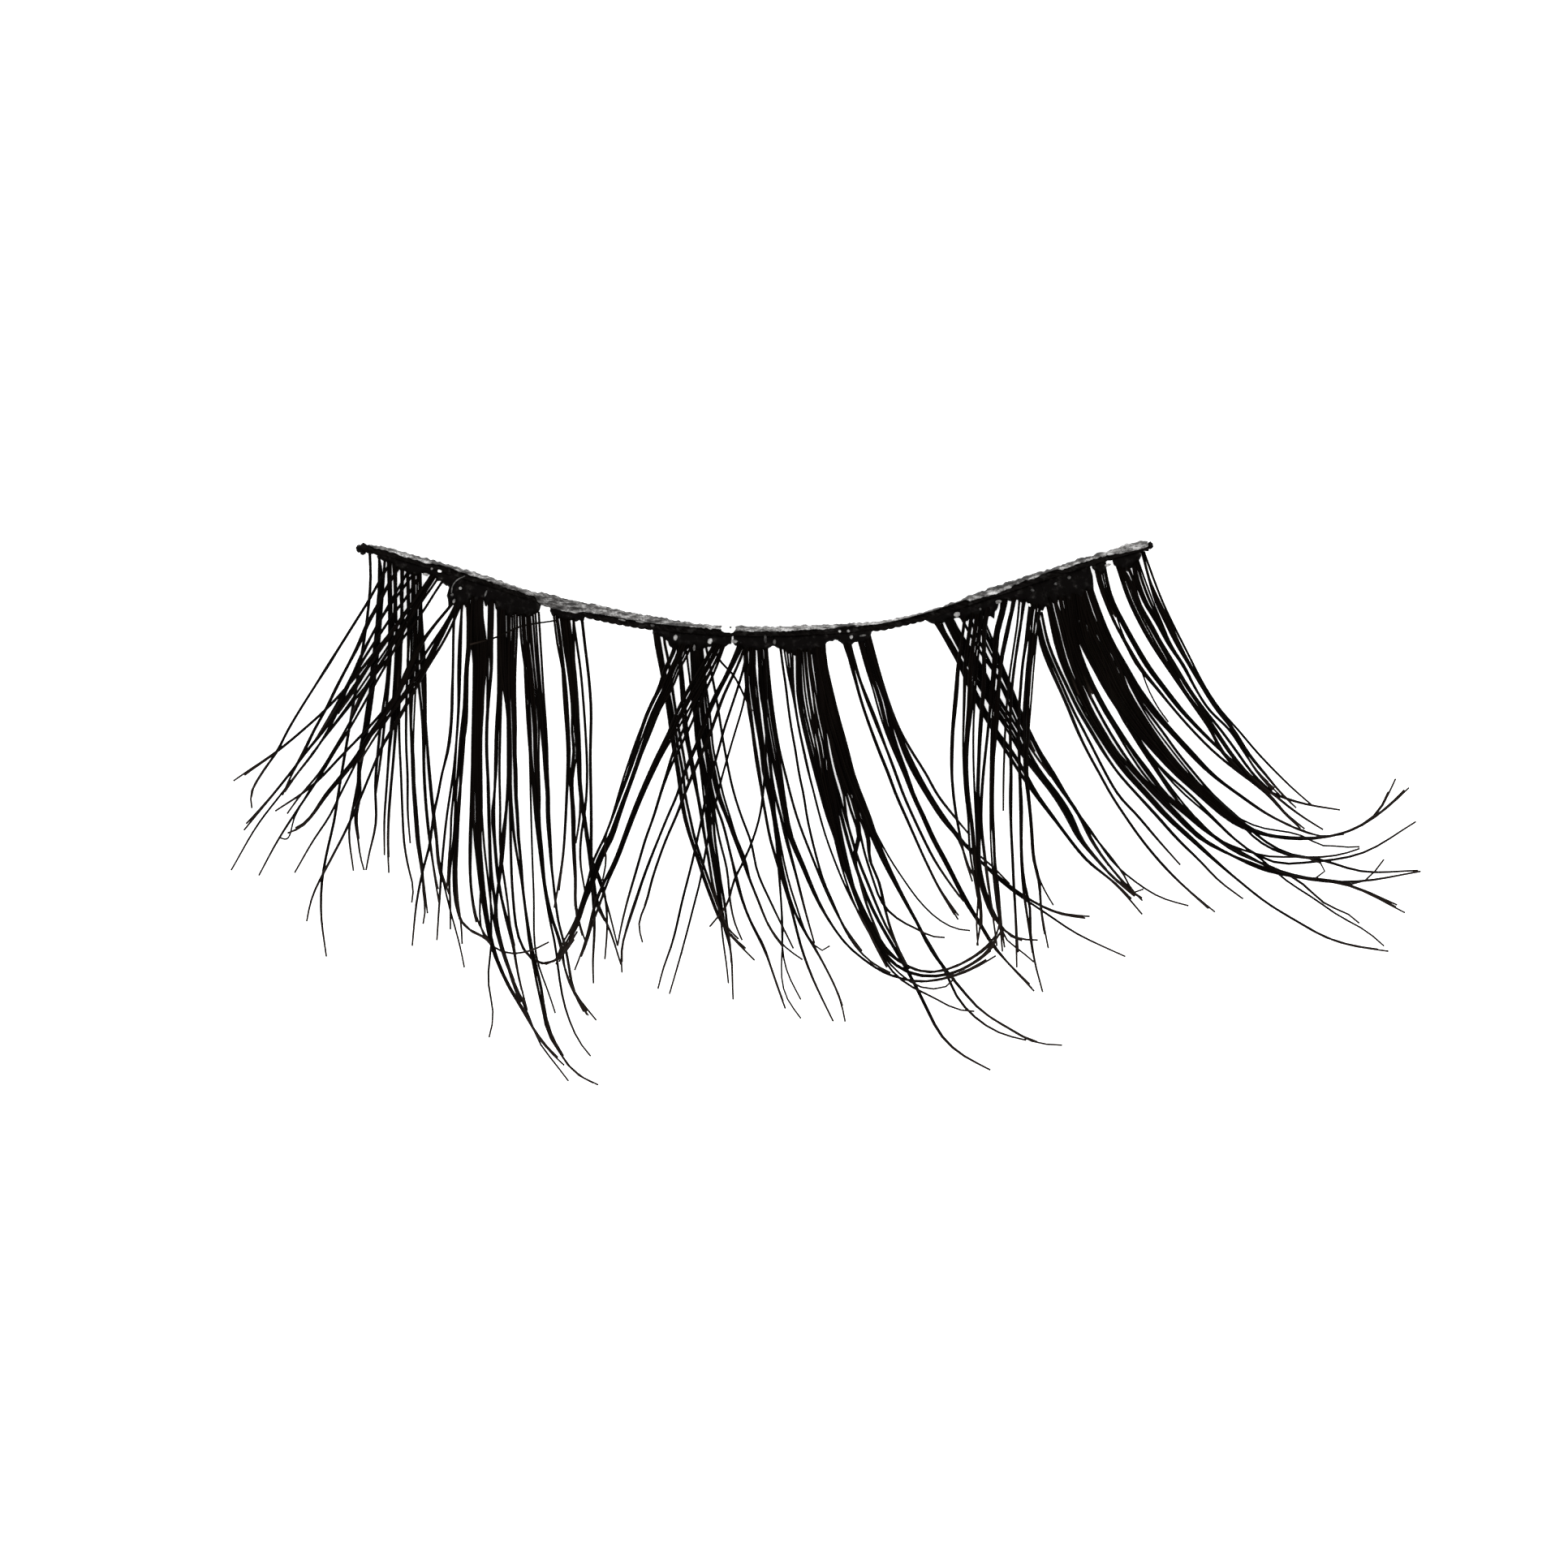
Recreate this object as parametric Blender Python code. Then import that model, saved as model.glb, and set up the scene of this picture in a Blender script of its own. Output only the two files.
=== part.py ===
"""A false eyelash strip lying on a surface, seen from above with its tips towards -Y.

A curved thread band carries a film of adhesive along its upper edge and eleven clusters of
lashes under its seam. Each cluster is a glued cuff with locks of hair fused into it. The locks
lie along the surface for a while and then curl up. Metres, +Z up, origin under the middle of
the strip's box.
"""

import math
from collections import namedtuple

import bmesh
import bpy
from mathutils import Vector

# Band: a flat thread tape on a shallow arc, its seam edge towards the lashes
BAND_CHORD = 0.0326
BAND_SAG = 0.0035
BAND_BELLY = 1.3
BAND_SKEW = 0.016
BAND_WIDTH = 0.00034
BAND_THICKNESS = 0.00045
BAND_EDGE = 0.00009
SEAM_DROP = 0.00028

# Adhesive: a thin film along the band's upper edge and one dried bead on top
FILM_WIDTH = 0.00011
FILM_THICKNESS = 0.00009
FILM_CLEARANCE = 0.00004
BEAD_LENGTH = 0.00060
BEAD_WIDTH = 0.00042
BEAD_HEIGHT = 0.00022
BEAD_CLEARANCE = 0.00005
BEAD_SHARE = 0.467

# Cuffs: the glued roots of each cluster, hard against the seam
CUFF_CLEARANCE = 0.00008
CUFF_THICKNESS = 0.00040
CUFF_LENGTH = 0.00100

# Lashes: how far the longest tip reaches, how thick a lock is, and how it curls up
LASH_REACH = 0.0221
LOCK_WIDTH = 0.00100
LOCK_DEPTH = 0.00026
LOCK_TIP = 0.00005
LAYER_CLEARANCE = 0.00010
LAYER_RISE = 0.0020
FLAT_LENGTH = 0.0080
CURL_RADIUS = 0.0150

# Counts of sections and sides, and the share of the chord that the seam's direction is read over
BAND_SECTIONS = 36
SEAM_STEP = 0.005
CUFF_SPACING = 0.0009
LOCK_SIDES = 6
LEAST_LOCK_SECTIONS = 6
TURN_A_SECTION = 20.0
PATH_STEPS = 60

# Places along the band are shares of its chord; widths are shares of the width named above
BandSection = namedtuple("BandSection", "share width")
BAND_TABLE = [
    BandSection(0.000, 0.70),
    BandSection(0.008, 1.25),
    BandSection(0.025, 1.00),
    BandSection(0.970, 1.00),
    BandSection(0.988, 0.95),
    BandSection(0.996, 1.20),
    BandSection(1.000, 0.80),
]

FilmSection = namedtuple("FilmSection", "share width")
FILM_TABLE = [
    FilmSection(0.015, 0.5),
    FilmSection(0.110, 0.8),
    FilmSection(0.220, 0.9),
    FilmSection(0.235, 2.4),
    FilmSection(0.275, 2.1),
    FilmSection(0.290, 1.4),
    FilmSection(0.340, 1.3),
    FilmSection(0.450, 0.9),
    FilmSection(0.600, 0.9),
    FilmSection(0.680, 0.4),
    FilmSection(0.750, 0.5),
    FilmSection(0.790, 1.1),
    FilmSection(0.860, 0.9),
    FilmSection(0.950, 0.9),
    FilmSection(0.985, 1.6),
]

# A lock leaves its cuff at the band share `root`, in the plan direction `lean`, and ends at the
# tip `across` (share of the chord) and `down` (share of the reach) in the direction `curl`. Both
# directions are degrees from straight down, positive to the right. `width` is a share of
# LOCK_WIDTH, `layer` counts the locks that it lies on, and `stem` and `hook` say how far along
# the root-to-tip distance each direction holds.
Lock = namedtuple("Lock", "root lean across down curl width layer stem hook", defaults=(0.38, 0.38))

# A cluster's cuff runs between two band shares, with its length below the seam at either end
# as a share of CUFF_LENGTH.
Cluster = namedtuple("Cluster", "name start end first_length last_length locks")

CLUSTERS = [
    Cluster("lashes_left_corner", 0.008, 0.131, 0.35, 0.80, [
        Lock(0.016, -3, -0.040, 0.760, 8, 0.16, 0, 0.45, 0.35),
        Lock(0.026, -4, 0.006, 0.605, 8, 0.34, 0),
        Lock(0.037, 0, 0.010, 0.600, -8, 0.16, 0),
        Lock(0.050, -1, 0.039, 0.605, 0, 0.22, 0),
        Lock(0.060, -2, 0.067, 0.660, 5, 0.15, 0),
        Lock(0.066, 0, 0.084, 0.700, 8, 0.16, 0),
        Lock(0.077, 1, 0.110, 0.640, 14, 0.34, 0),
        Lock(0.036, -27, -0.139, 0.463, -32, 0.20, 1),
        Lock(0.047, -28, -0.095, 0.460, -23, 0.22, 1),
        Lock(0.097, -32, -0.156, 0.437, -55, 0.26, 1),
        Lock(0.085, -33, -0.145, 0.525, -39, 0.20, 1),
        Lock(0.090, -33, -0.160, 0.600, -30, 0.18, 1),
        Lock(0.093, -24, -0.125, 0.610, -31, 0.20, 1),
        Lock(0.125, -33, -0.093, 0.543, -43, 0.40, 1),
        Lock(0.122, -33, -0.105, 0.490, -54, 0.18, 1),
        Lock(0.126, -30, -0.080, 0.605, -34, 0.20, 1),
        Lock(0.128, -28, -0.064, 0.695, -18, 0.26, 1),
    ]),
    Cluster("lashes_left_fan", 0.135, 0.236, 1.10, 0.75, [
        Lock(0.138, -4, 0.066, 0.740, -9, 0.18, 1),
        Lock(0.140, -3, 0.099, 0.730, -3, 0.18, 1),
        Lock(0.144, -3, 0.165, 0.720, 92, 0.18, 1, 0.50, 0.22),
        Lock(0.146, -2, 0.130, 0.737, 4, 0.16, 1),
        Lock(0.152, -2, 0.262, 0.965, 38, 0.46, 0, 0.45, 0.35),
        Lock(0.150, -1, 0.160, 0.730, 16, 0.18, 0),
        Lock(0.165, -2, 0.209, 0.850, 12, 0.18, 0),
        Lock(0.176, 0, 0.181, 0.540, 4, 0.22, 0),
        Lock(0.190, 2, 0.303, 0.990, 62, 0.50, 0, 0.50, 0.20),
        Lock(0.186, 1, 0.200, 0.820, 28, 0.20, 0, 0.50, 0.25),
        Lock(0.192, 0, 0.275, 0.715, 148, 0.16, 0, 0.50, 0.40),
        Lock(0.206, 2, 0.298, 0.880, 33, 0.34, 0),
        Lock(0.222, 3, 0.285, 0.820, 24, 0.30, 0),
        Lock(0.202, 1, 0.292, 0.945, 32, 0.18, 0),
    ]),
    Cluster("lashes_left_wisp", 0.241, 0.288, 0.45, 0.40, [
        Lock(0.256, 6, 0.251, 0.680, -8, 0.30, 1),
        Lock(0.258, 6, 0.283, 0.725, 12, 0.36, 1),
        Lock(0.264, 4, 0.326, 0.740, 20, 0.22, 1),
        Lock(0.271, 7, 0.285, 0.630, 2, 0.18, 1),
        Lock(0.280, 8, 0.296, 0.790, 0, 0.18, 1),
    ]),
    Cluster("lashes_mid_left", 0.366, 0.468, 0.40, 0.50, [
        Lock(0.420, -27, 0.250, 0.775, -20, 0.46, 2),
        Lock(0.412, -28, 0.307, 0.620, -10, 0.18, 2),
        Lock(0.457, -28, 0.270, 0.795, -19, 0.40, 2),
        Lock(0.461, -22, 0.327, 0.740, -12, 0.20, 2),
        Lock(0.373, 9, 0.500, 0.765, 37, 0.32, 0, 0.45, 0.30),
        Lock(0.422, 5, 0.557, 0.770, 45, 0.40, 0, 0.40, 0.30),
        Lock(0.425, 2, 0.540, 0.855, 21, 0.22, 0),
        Lock(0.420, 4, 0.483, 0.725, 22, 0.18, 0),
        Lock(0.418, 4, 0.470, 0.840, 8, 0.18, 0),
        Lock(0.435, 8, 0.548, 0.745, 26, 0.18, 0),
    ]),
    Cluster("lashes_centre", 0.473, 0.521, 0.45, 0.50, [
        Lock(0.482, -25, 0.331, 0.785, -5, 0.32, 1, 0.38, 0.25),
        Lock(0.487, -25, 0.355, 0.735, -6, 0.22, 1),
        Lock(0.492, -18, 0.377, 0.820, -16, 0.24, 1),
        Lock(0.507, -16, 0.393, 0.830, -14, 0.22, 1),
        Lock(0.487, 4, 0.585, 0.840, 22, 0.24, 0),
        Lock(0.499, 4, 0.615, 0.880, 16, 0.22, 0),
        Lock(0.511, 5, 0.800, 0.752, 125, 0.34, 0, 0.55, 0.47),
    ]),
    Cluster("lashes_mid_right", 0.526, 0.592, 0.50, 0.50, [
        Lock(0.531, 7, 0.680, 0.790, 70, 0.22, 1, 0.45, 0.25),
        Lock(0.541, 7, 0.670, 0.785, 30, 0.26, 1),
        Lock(0.561, 6, 0.805, 0.725, 130, 0.62, 1, 0.55, 0.50),
        Lock(0.574, 14, 0.885, 0.925, 85, 0.56, 1, 0.35, 0.28),
        Lock(0.570, 8, 0.738, 0.725, 78, 0.18, 1),
        Lock(0.584, 12, 0.770, 0.713, 80, 0.16, 1, 0.40, 0.30),
        Lock(0.555, 7, 0.800, 0.970, 62, 0.18, 1),
    ]),
    Cluster("lashes_slant", 0.600, 0.645, 0.50, 0.50, [
        Lock(0.607, 16, 0.755, 0.685, 20, 0.20, 0),
        Lock(0.627, 15, 0.840, 0.800, 42, 0.38, 0),
        Lock(0.637, 18, 0.768, 0.530, 36, 0.16, 0),
        Lock(0.633, 18, 0.925, 0.692, 75, 0.24, 0, 0.40, 0.30),
        Lock(0.630, 18, 0.965, 0.760, 62, 0.18, 0),
    ]),
    Cluster("lashes_right_cross", 0.720, 0.861, 0.50, 1.20, [
        Lock(0.735, 27, 0.988, 0.655, 38, 0.50, 0),
        Lock(0.780, 22, 0.986, 0.625, 42, 0.34, 0),
        Lock(0.746, 28, 0.980, 0.680, 38, 0.20, 0),
        Lock(0.853, 17, 1.077, 0.680, 43, 0.22, 0),
        Lock(0.856, 18, 1.035, 0.585, 42, 0.16, 0),
        Lock(0.785, -18, 0.783, 0.700, 6, 0.48, 2),
        Lock(0.772, -20, 0.772, 0.580, 14, 0.20, 2),
        Lock(0.810, -16, 0.855, 0.730, 88, 0.30, 2),
        Lock(0.825, -17, 0.800, 0.600, 3, 0.24, 2),
        Lock(0.840, -10, 0.830, 0.765, 3, 0.22, 2),
        Lock(0.849, -12, 0.863, 0.825, 14, 0.24, 2),
        Lock(0.853, -8, 0.873, 0.660, 24, 0.22, 2),
    ]),
    Cluster("lashes_right_sweep", 0.866, 0.922, 1.00, 0.95, [
        Lock(0.877, 19, 1.295, 0.747, 82, 0.40, 0, 0.35, 0.33),
        Lock(0.882, 20, 1.317, 0.675, 70, 0.20, 0),
        Lock(0.886, 20, 1.335, 0.598, 100, 0.44, 0, 0.55, 0.40),
        Lock(0.899, 22, 1.320, 0.445, 140, 0.66, 0, 0.55, 0.50),
        Lock(0.906, 22, 1.305, 0.430, 155, 0.30, 0, 0.55, 0.48),
        Lock(0.914, 22, 1.240, 0.530, 85, 0.36, 0),
    ]),
    Cluster("lashes_right_pair", 0.927, 0.944, 0.60, 0.55, [
        Lock(0.930, 17, 1.235, 0.492, 78, 0.24, 1, 0.38, 0.30),
        Lock(0.938, 18, 1.150, 0.460, 48, 0.34, 1),
    ]),
    Cluster("lashes_right_corner", 0.949, 0.993, 0.55, 0.35, [
        Lock(0.956, 22, 1.200, 0.535, 46, 0.46, 2),
        Lock(0.967, 21, 1.215, 0.525, 40, 0.36, 2),
        Lock(0.979, 21, 1.170, 0.465, 33, 0.30, 2),
        Lock(0.986, 18, 1.200, 0.478, 40, 0.26, 2),
    ]),
]

Finish = namedtuple("Finish", "colour roughness metallic")
BAND_FINISH = Finish((0.012, 0.011, 0.011), 0.75, 0.0)
LASH_FINISH = Finish((0.010, 0.008, 0.008), 0.45, 0.0)
FILM_FINISH = Finish((0.42, 0.42, 0.43), 0.30, 0.0)
BEAD_FINISH = Finish((0.85, 0.85, 0.84), 0.25, 0.0)


def clear_scene():
    for obj in list(bpy.data.objects):
        bpy.data.objects.remove(obj)


def make_material(name, finish):
    material = bpy.data.materials.new(name)
    material.use_nodes = True
    shader = material.node_tree.nodes["Principled BSDF"]
    shader.inputs["Base Color"].default_value = (*finish.colour, 1.0)
    shader.inputs["Roughness"].default_value = finish.roughness
    shader.inputs["Metallic"].default_value = finish.metallic
    return material


def make_object(name, rings, origin, material):
    """A closed body lofted through rings of equal count, with its own origin."""
    mesh = bpy.data.meshes.new(name)
    shape = bmesh.new()
    loops = [[shape.verts.new(point - origin) for point in ring] for ring in rings]
    sides = len(loops[0])
    for near, far in zip(loops, loops[1:]):
        for i in range(sides):
            j = (i + 1) % sides
            shape.faces.new((near[i], near[j], far[j], far[i]))
    shape.faces.new(list(reversed(loops[0])))
    shape.faces.new(loops[-1])
    bmesh.ops.recalc_face_normals(shape, faces=shape.faces)
    shape.to_mesh(mesh)
    shape.free()
    mesh.materials.append(material)
    mesh.shade_smooth()
    mesh.set_sharp_from_angle(angle=math.radians(50))
    obj = bpy.data.objects.new(name, mesh)
    obj.location = origin
    bpy.context.scene.collection.objects.link(obj)
    return obj


def lerp(a, b, t):
    return a + (b - a) * t


def smooth(t):
    t = min(max(t, 0.0), 1.0)
    return t * t * (3.0 - 2.0 * t)


def seam_point(share):
    """The band's lower edge in plan, where the lashes hang."""
    phase = math.pi * (share - BAND_SKEW * math.sin(math.pi * share))
    sag = BAND_SAG * max(math.sin(phase), 0.0) ** BAND_BELLY
    return Vector((BAND_CHORD * share, -SEAM_DROP - sag, 0.0))


def seam_direction(share):
    middle = min(max(share, SEAM_STEP), 1.0 - SEAM_STEP)
    return (seam_point(middle + SEAM_STEP) - seam_point(middle - SEAM_STEP)).normalized()


def band_point(share, outward, height):
    """A point `outward` metres from the seam across the band, on the side of the adhesive."""
    along = seam_direction(share)
    normal = Vector((-along.y, along.x, 0.0))
    return seam_point(share) + normal * outward + Vector((0.0, 0.0, height))


def table_width(table, share):
    """The width share that a table of sections gives at a place along the band."""
    for near, far in zip(table, table[1:]):
        if share <= far.share:
            return lerp(near.width, far.width, (share - near.share) / (far.share - near.share))
    return table[-1].width


def section_shares(table, count):
    """Evenly spaced places along a table of sections, with the table's own places kept."""
    first, last = table[0].share, table[-1].share
    even = [lerp(first, last, i / count) for i in range(count + 1)]
    own = [row.share for row in table]
    spacing = (last - first) / count
    return sorted(own + [s for s in even if min(abs(s - o) for o in own) > 0.4 * spacing])


def build_band(material):
    """The thread tape: flat underside, upper corners softened."""
    rings = []
    for share in section_shares(BAND_TABLE, BAND_SECTIONS):
        width = BAND_WIDTH * table_width(BAND_TABLE, share)
        rings.append([
            band_point(share, 0.0, 0.0),
            band_point(share, width, 0.0),
            band_point(share, width, BAND_THICKNESS - BAND_EDGE),
            band_point(share, width - BAND_EDGE, BAND_THICKNESS),
            band_point(share, BAND_EDGE, BAND_THICKNESS),
            band_point(share, 0.0, BAND_THICKNESS - BAND_EDGE),
        ])
    return make_object("band_thread", rings, seam_point(0.5), material)


def build_film(material):
    """The thin skirt of adhesive beyond the band's upper edge."""
    low = (BAND_THICKNESS - FILM_THICKNESS) / 2.0
    high = low + FILM_THICKNESS
    rings = []
    for share in section_shares(FILM_TABLE, BAND_SECTIONS):
        near = BAND_WIDTH * table_width(BAND_TABLE, share) + FILM_CLEARANCE
        far = near + FILM_WIDTH * table_width(FILM_TABLE, share)
        rings.append([
            band_point(share, near, low),
            band_point(share, far, low),
            band_point(share, far, high),
            band_point(share, near, high),
        ])
    return make_object("adhesive_film", rings, band_point(0.5, BAND_WIDTH, 0.0), material)


def build_bead(material):
    """The dried bead on the band's top, a low dome longer than it is wide."""
    centre = band_point(BEAD_SHARE, BAND_WIDTH - BEAD_WIDTH / 4.0, BAND_THICKNESS + BEAD_CLEARANCE)
    rings = []
    for level in (0.0, 0.35, 0.70, 0.92):
        size = math.sqrt(1.0 - level * level)
        ring = []
        for i in range(12):
            turn = 2.0 * math.pi * i / 12
            ring.append(centre + Vector((
                BEAD_LENGTH / 2.0 * size * math.cos(turn),
                BEAD_WIDTH / 2.0 * size * math.sin(turn),
                BEAD_HEIGHT * level,
            )))
        rings.append(ring)
    return make_object("glue_bead", rings, centre, material)


def cuff_length(cluster, share):
    t = (share - cluster.start) / (cluster.end - cluster.start)
    return CUFF_LENGTH * lerp(cluster.first_length, cluster.last_length, t)


def build_cuff(cluster, material):
    """The bar of glued roots under the seam that the cluster's locks are fused to."""
    span = BAND_CHORD * (cluster.end - cluster.start)
    count = max(2, round(span / CUFF_SPACING))
    rings = []
    for i in range(count + 1):
        share = lerp(cluster.start, cluster.end, i / count)
        near = -CUFF_CLEARANCE
        far = near - cuff_length(cluster, share)
        rings.append([
            band_point(share, far, 0.0),
            band_point(share, near, 0.0),
            band_point(share, near, CUFF_THICKNESS),
            band_point(share, far, CUFF_THICKNESS),
        ])
    middle = (cluster.start + cluster.end) / 2.0
    return make_object(cluster.name, rings, seam_point(middle), material)


def plan_direction(degrees):
    turn = math.radians(degrees)
    return Vector((math.sin(turn), -math.cos(turn), 0.0))


def lock_path(cluster, lock):
    """Points and running lengths along the lock in plan, on one cubic from root to tip."""
    root = band_point(lock.root, -CUFF_CLEARANCE - cuff_length(cluster, lock.root) / 2.0, 0.0)
    tip = Vector((BAND_CHORD * lock.across, -LASH_REACH * lock.down, 0.0))
    distance = (tip - root).length
    leaving = root + plan_direction(lock.lean) * distance * lock.stem
    arriving = tip - plan_direction(lock.curl) * distance * lock.hook
    points = []
    for i in range(PATH_STEPS + 1):
        t = i / PATH_STEPS
        u = 1.0 - t
        points.append(
            root * u ** 3 + leaving * 3.0 * u * u * t + arriving * 3.0 * u * t * t + tip * t ** 3
        )
    lengths = [0.0]
    for near, far in zip(points, points[1:]):
        lengths.append(lengths[-1] + (far - near).length)
    return points, lengths


def lock_height(lock, length):
    """Height of the lock's middle: out of the cuff, along its layer, then curling up."""
    lying = LOCK_DEPTH / 2.0 + lock.layer * (LOCK_DEPTH + LAYER_CLEARANCE)
    height = lerp(CUFF_THICKNESS / 2.0, lying, smooth(length / LAYER_RISE))
    return height + max(length - FLAT_LENGTH, 0.0) ** 2 / (2.0 * CURL_RADIUS)


def taper(share):
    """How full the lock is along its length, from its root to its tip."""
    return 1.0 - max(share - 0.35, 0.0) / 0.65


def lock_rings(cluster, lock):
    points, lengths = lock_path(cluster, lock)
    for i, length in enumerate(lengths):
        points[i] = points[i] + Vector((0.0, 0.0, lock_height(lock, length)))
    count = LEAST_LOCK_SECTIONS + round(abs(lock.curl - lock.lean) / TURN_A_SECTION)
    width = LOCK_WIDTH * lock.width
    depth = min(LOCK_DEPTH, width)
    rings = []
    for k in range(count):
        share = k / (count - 1)
        i = round(share * PATH_STEPS)
        along = (points[min(i + 1, PATH_STEPS)] - points[max(i - 1, 0)]).normalized()
        across = Vector((-along.y, along.x, 0.0)).normalized()
        if k == 0:
            across = seam_direction(lock.root)
        up = along.cross(across).normalized()
        if up.z < 0.0:
            up = -up
        full = taper(lengths[i] / lengths[-1])
        half_width = lerp(LOCK_TIP, width, full) / 2.0
        half_depth = lerp(LOCK_TIP, depth, full) / 2.0
        ring = []
        for side in range(LOCK_SIDES):
            turn = 2.0 * math.pi * side / LOCK_SIDES
            ring.append(
                points[i]
                + across * half_width * math.cos(turn)
                + up * half_depth * math.sin(turn) / math.sin(math.pi / 3.0)
            )
        rings.append(ring)
    return rings


def fuse_lock(cuff, lock_object):
    """Joins a lock to its cuff; the lock's own object stays as a hidden guide."""
    lock_object.hide_render = True
    lock_object.display_type = "WIRE"
    union = cuff.modifiers.new(lock_object.name, "BOOLEAN")
    union.operation = "UNION"
    union.solver = "EXACT"
    union.object = lock_object


def build_cluster(cluster, material):
    cuff = build_cuff(cluster, material)
    locks = []
    for number, lock in enumerate(cluster.locks, start=1):
        rings = lock_rings(cluster, lock)
        root = seam_point(lock.root)
        lock_object = make_object(f"{cluster.name}_lock_{number}", rings, root, material)
        fuse_lock(cuff, lock_object)
        locks.append(lock_object)
    return [cuff, *locks]


def rest_on_origin(objects):
    """Hangs everything on one empty that puts the strip's box over the origin."""
    corners = [obj.location + vertex.co for obj in objects for vertex in obj.data.vertices]
    lowest = Vector([min(corner[axis] for corner in corners) for axis in range(3)])
    highest = Vector([max(corner[axis] for corner in corners) for axis in range(3)])
    strip = bpy.data.objects.new("strip", None)
    strip.location = (-(lowest.x + highest.x) / 2.0, -(lowest.y + highest.y) / 2.0, -lowest.z)
    bpy.context.scene.collection.objects.link(strip)
    for obj in objects:
        obj.parent = strip


def main():
    clear_scene()
    lash_material = make_material("lash_hair", LASH_FINISH)
    objects = [
        build_band(make_material("band_thread", BAND_FINISH)),
        build_film(make_material("adhesive_film", FILM_FINISH)),
        build_bead(make_material("glue_bead", BEAD_FINISH)),
    ]
    for cluster in CLUSTERS:
        objects += build_cluster(cluster, lash_material)
    rest_on_origin(objects)


main()
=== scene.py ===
"""Looks of a false eyelash strip: single hairs, glued roots, thread band and dried adhesive.

Plan places are percent: across the band's chord from its left end, and down the longest lash's
reach from the line between the band's ends. Lengths named _MM are millimetres.
"""

import math
from collections import namedtuple

import bmesh
import bpy
import numpy as np
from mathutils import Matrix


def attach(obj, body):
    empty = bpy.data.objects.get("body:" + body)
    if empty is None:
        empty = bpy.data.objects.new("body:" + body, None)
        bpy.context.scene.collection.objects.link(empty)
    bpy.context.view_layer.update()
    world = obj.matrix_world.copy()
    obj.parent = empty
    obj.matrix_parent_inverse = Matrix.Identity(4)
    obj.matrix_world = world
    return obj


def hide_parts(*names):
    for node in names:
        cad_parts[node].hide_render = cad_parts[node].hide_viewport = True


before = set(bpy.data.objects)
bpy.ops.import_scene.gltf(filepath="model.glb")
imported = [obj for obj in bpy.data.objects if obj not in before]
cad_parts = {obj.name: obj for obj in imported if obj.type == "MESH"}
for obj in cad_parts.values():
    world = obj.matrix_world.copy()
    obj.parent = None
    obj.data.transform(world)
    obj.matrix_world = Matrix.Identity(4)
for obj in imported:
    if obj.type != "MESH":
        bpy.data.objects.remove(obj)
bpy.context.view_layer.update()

MM = 0.001

# The plan that the solids follow
CHORD_MM = 32.6
REACH_MM = 22.1
LEFT_END_MM = (-19.151, 10.862)
SAG_MM = 3.5
BELLY = 1.3
SKEW = 0.016
SEAM_DROP_MM = 0.28
BAND_WIDTH_MM = 0.34
BAND_HEIGHT_MM = 0.45

# How far the thread and its film lie out from that even arc: percent along it, and mm
SWAY_MM = [(0, .06), (3, .06), (8, -.02), (15, -.05), (20, -.10), (26, -.20), (31, -.18),
           (36, -.12), (42, 0), (50, .08), (57, .08), (62, 0), (66, -.12), (72, -.10), (78, .02),
           (86, .05), (94, .08), (98, .12), (100, .14)]

# How the lashes leave the cuff, lie in layers and curl up
CUFF_HEIGHT_MM = 0.40
LAYER_MM = 0.36
FIRST_LAYER_MM = 0.13
RISE_MM = 2.0
FLAT_MM = 8.0
CURL_RADIUS_MM = 15.0

# A hair's width at its tip, the share of its length that keeps the full width, and the share at
# which the taper would reach the tip's width
TIP_MM = 0.078
HOLD = 0.80
TAPER_END = 1.05
HAIR_RINGS = 34
HAIR_SIDES = 6
PATH_STEPS = 100

# The hairs of a bundle, which is a tuft of more than three, are thinner than the table says, and
# looser ones are thicker
BUNDLE_OVER = 3
BUNDLE_SWELL = 0.88
LOOSE_SWELL = 1.13

# A tuft's width is measured level, so a leaning tuft is narrower square to its path, and this is
# the least share of the width that is left
LEAST_LEAN = 0.45

# How uneven the hairs of a tuft are. Shares of the tuft's width: how far a hair crosses over, and
# how far off an even spacing it starts. Shares of its length: where crossing over starts, how
# long it takes, and where the flick of the tip starts. Then the flick, wave and lift in mm.
STRAY = 0.45
OFF_SPACING = 0.3
CROSS_FROM = (0.04, 0.35)
CROSS_SPAN = 0.45
FLICK_FROM = 0.8
FLICK_MM = 0.10
WAVE_MM = 0.02
LIFT_MM = 0.05

# The band's thread: plies wound on a core, their turns along the band, and how far out a ply's
# middle lies, its radius and the core's half width as shares of the band's half width
PLIES = 3
PLY_TURNS = 36.0
PLY_SIDES = 10
PLY_OUT = 0.46
PLY_RADIUS = 0.54
CORE_HALF = 0.72
THREAD_RINGS = 520
CORE_EVERY = 6

# Steps along the glued roots in mm and along the film in percent of the band, and how ragged the
# film's outer and inner edges are in mm
ROOT_STEP_MM = 0.06
LEAST_ROOT_STEPS = 14
FILM_STEP = 0.16
FILM_RAGGED_MM = (0.05, 0.04)

# Camera: straight down from far off, so that the raised tips don't lean outwards
VIEW_WIDTH_MM = 64.4
VIEW_CENTRE_MM = (-1.684, 1.142)
VIEW_DISTANCE_MM = 2400.0

# The floor glows a little, a painted glow, so that no shadow greys the gaps between the hairs
FLOOR_GLOW = 0.5
SKY_STRENGTH = 1.5
SUNS = [("key", (0.5, 0.3, 0.0), 1.4), ("fill", (-0.6, -0.4, 0.0), 1.0)]
SUN_ANGLE = 1.4

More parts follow.
